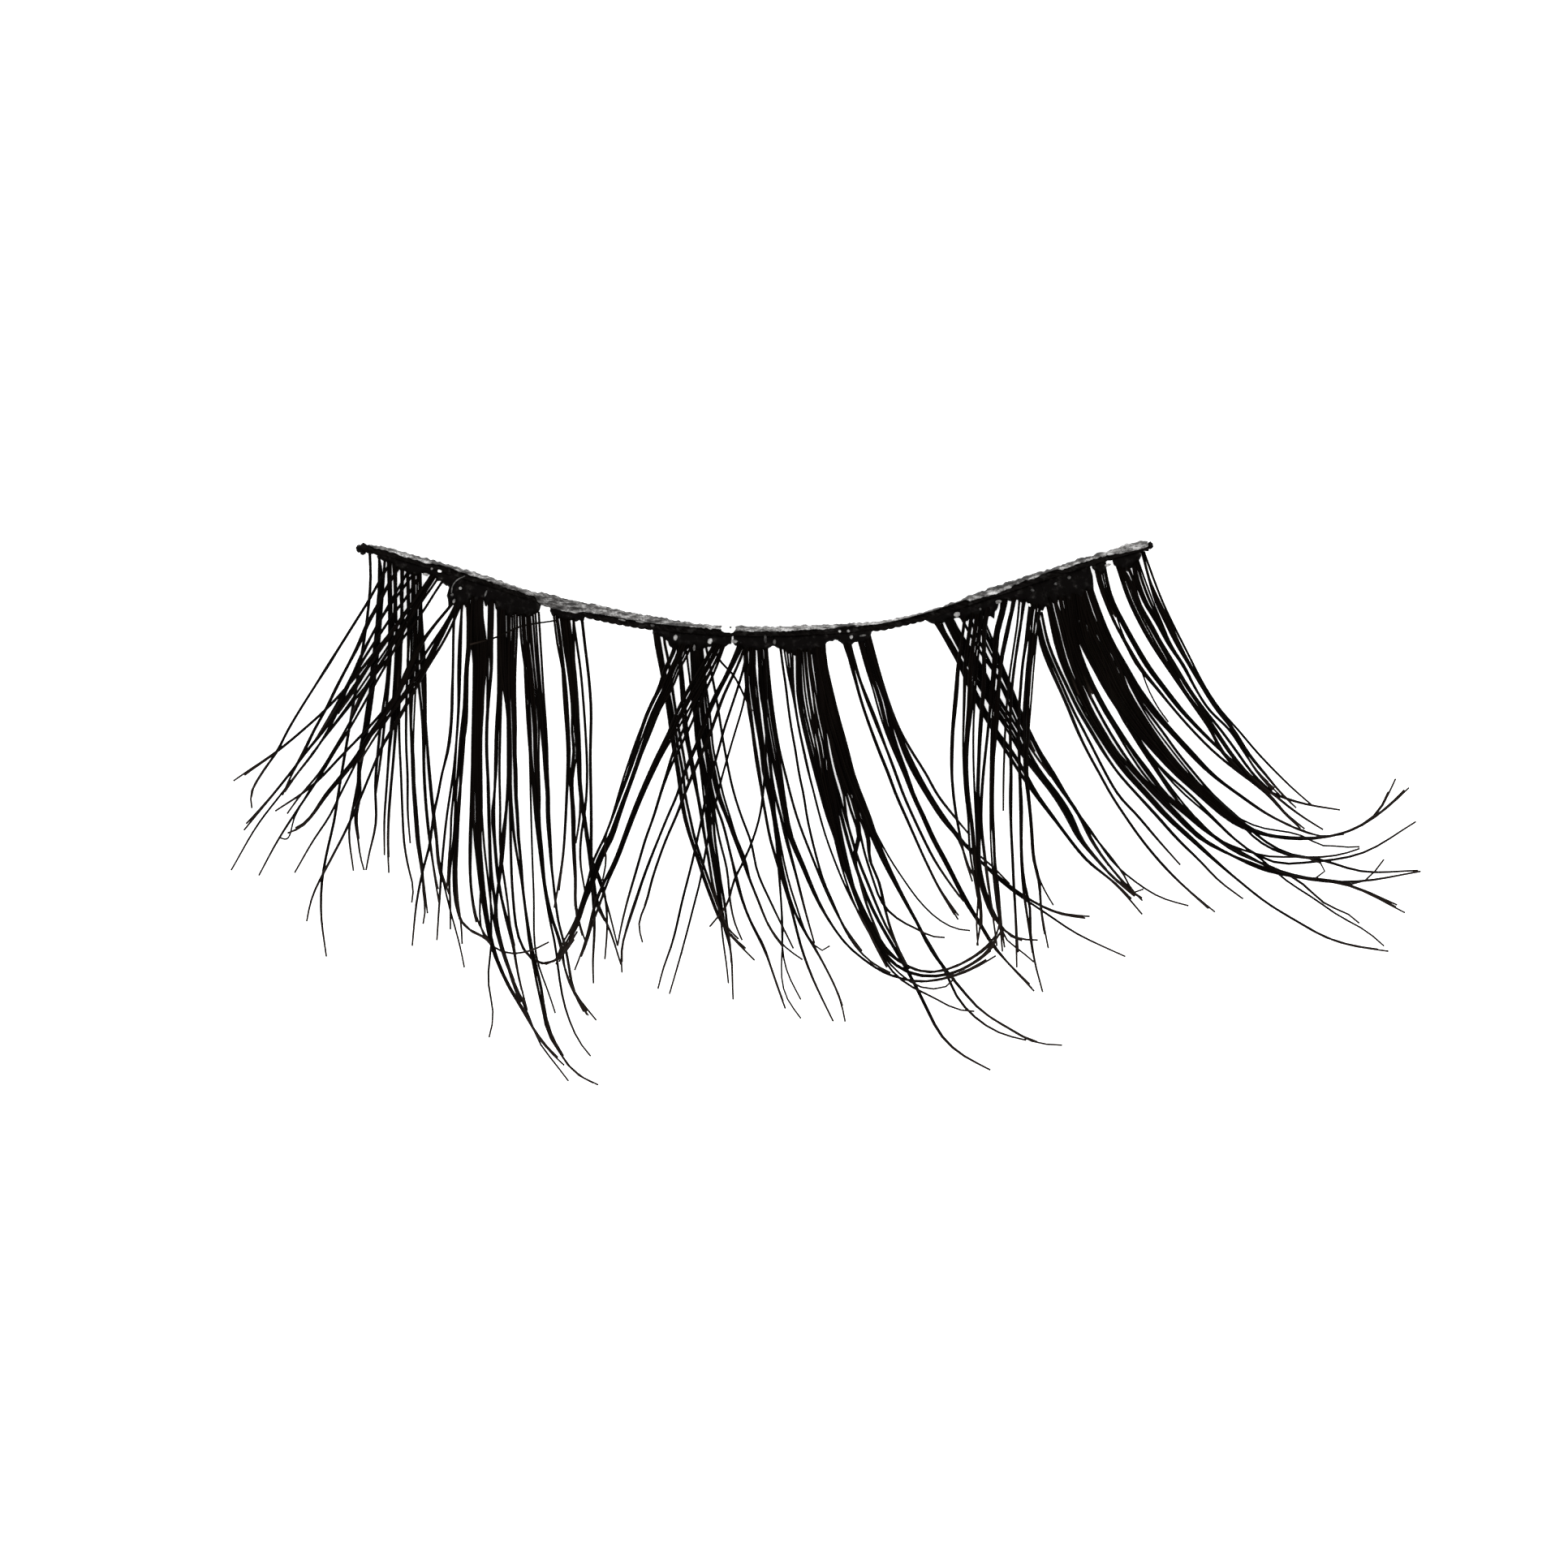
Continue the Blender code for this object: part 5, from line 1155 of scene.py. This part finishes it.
def make_camera():
    """Looks straight down at the strip."""
    data = bpy.data.cameras.new("camera")
    data.type = "PERSP"
    data.sensor_width = 36.0
    data.lens = data.sensor_width * VIEW_DISTANCE_MM / VIEW_WIDTH_MM
    camera = bpy.data.objects.new("camera", data)
    camera.location = (VIEW_CENTRE_MM[0] * MM, VIEW_CENTRE_MM[1] * MM, VIEW_DISTANCE_MM * MM)
    bpy.context.scene.collection.objects.link(camera)
    bpy.context.scene.camera = camera


def make_stage():
    """The pale floor, the even sky and two soft suns."""
    mesh = bpy.data.meshes.new("floor")
    half, drop = 4.0, -0.00002
    corners = ((-half, -half), (half, -half), (half, half), (-half, half))
    mesh.from_pydata([(x, y, drop) for x, y in corners], [], [(0, 1, 2, 3)])
    material, tree, shader = new_material("floor", 0.9, 0.0)
    tone = noise(tree, 3.0, 2.0)
    tree.links.new(ramp(tree, tone, [(0.3, (.92, .92, .92)), (0.7, (.94, .94, .94))]),
                   shader.inputs["Base Color"])
    # Painted glow: the floor gives off light of its own, which washes out the shadows on it.
    shader.inputs["Emission Color"].default_value = (1.0, 1.0, 1.0, 1.0)
    shader.inputs["Emission Strength"].default_value = FLOOR_GLOW
    mesh.materials.append(material)
    floor = bpy.data.objects.new("floor", mesh)
    bpy.context.scene.collection.objects.link(floor)

    world = bpy.data.worlds.new("world")
    world.use_nodes = True
    sky = world.node_tree.nodes["Background"]
    sky.inputs["Color"].default_value = (1.0, 1.0, 1.0, 1.0)
    sky.inputs["Strength"].default_value = SKY_STRENGTH
    bpy.context.scene.world = world

    for name, tilt, strength in SUNS:
        light = bpy.data.lights.new(name, "SUN")
        light.energy = strength
        light.angle = SUN_ANGLE
        lamp = bpy.data.objects.new(name, light)
        lamp.rotation_euler = tilt
        bpy.context.scene.collection.objects.link(lamp)
    bpy.context.scene.view_settings.view_transform = "Standard"


hair = hair_material()
roots = root_material()
for number, (name, tufts) in enumerate(TUFTS.items()):
    make_hair(name, tufts, hair, 100 + number)
    make_roots(name, ROOTS[name], roots, 200 + number)
make_band(thread_material())
make_film(film_material())
# Painted highlight: the clear glue bead gets a near-white colour for the glint on it.
make_bead(glue_material("glue_bead", (.74, .74, .73), (.90, .90, .89)),
          glue_material("bead_speck", (.02, .02, .02), (.08, .08, .08)))
make_specks(speck_material())
make_camera()
make_stage()
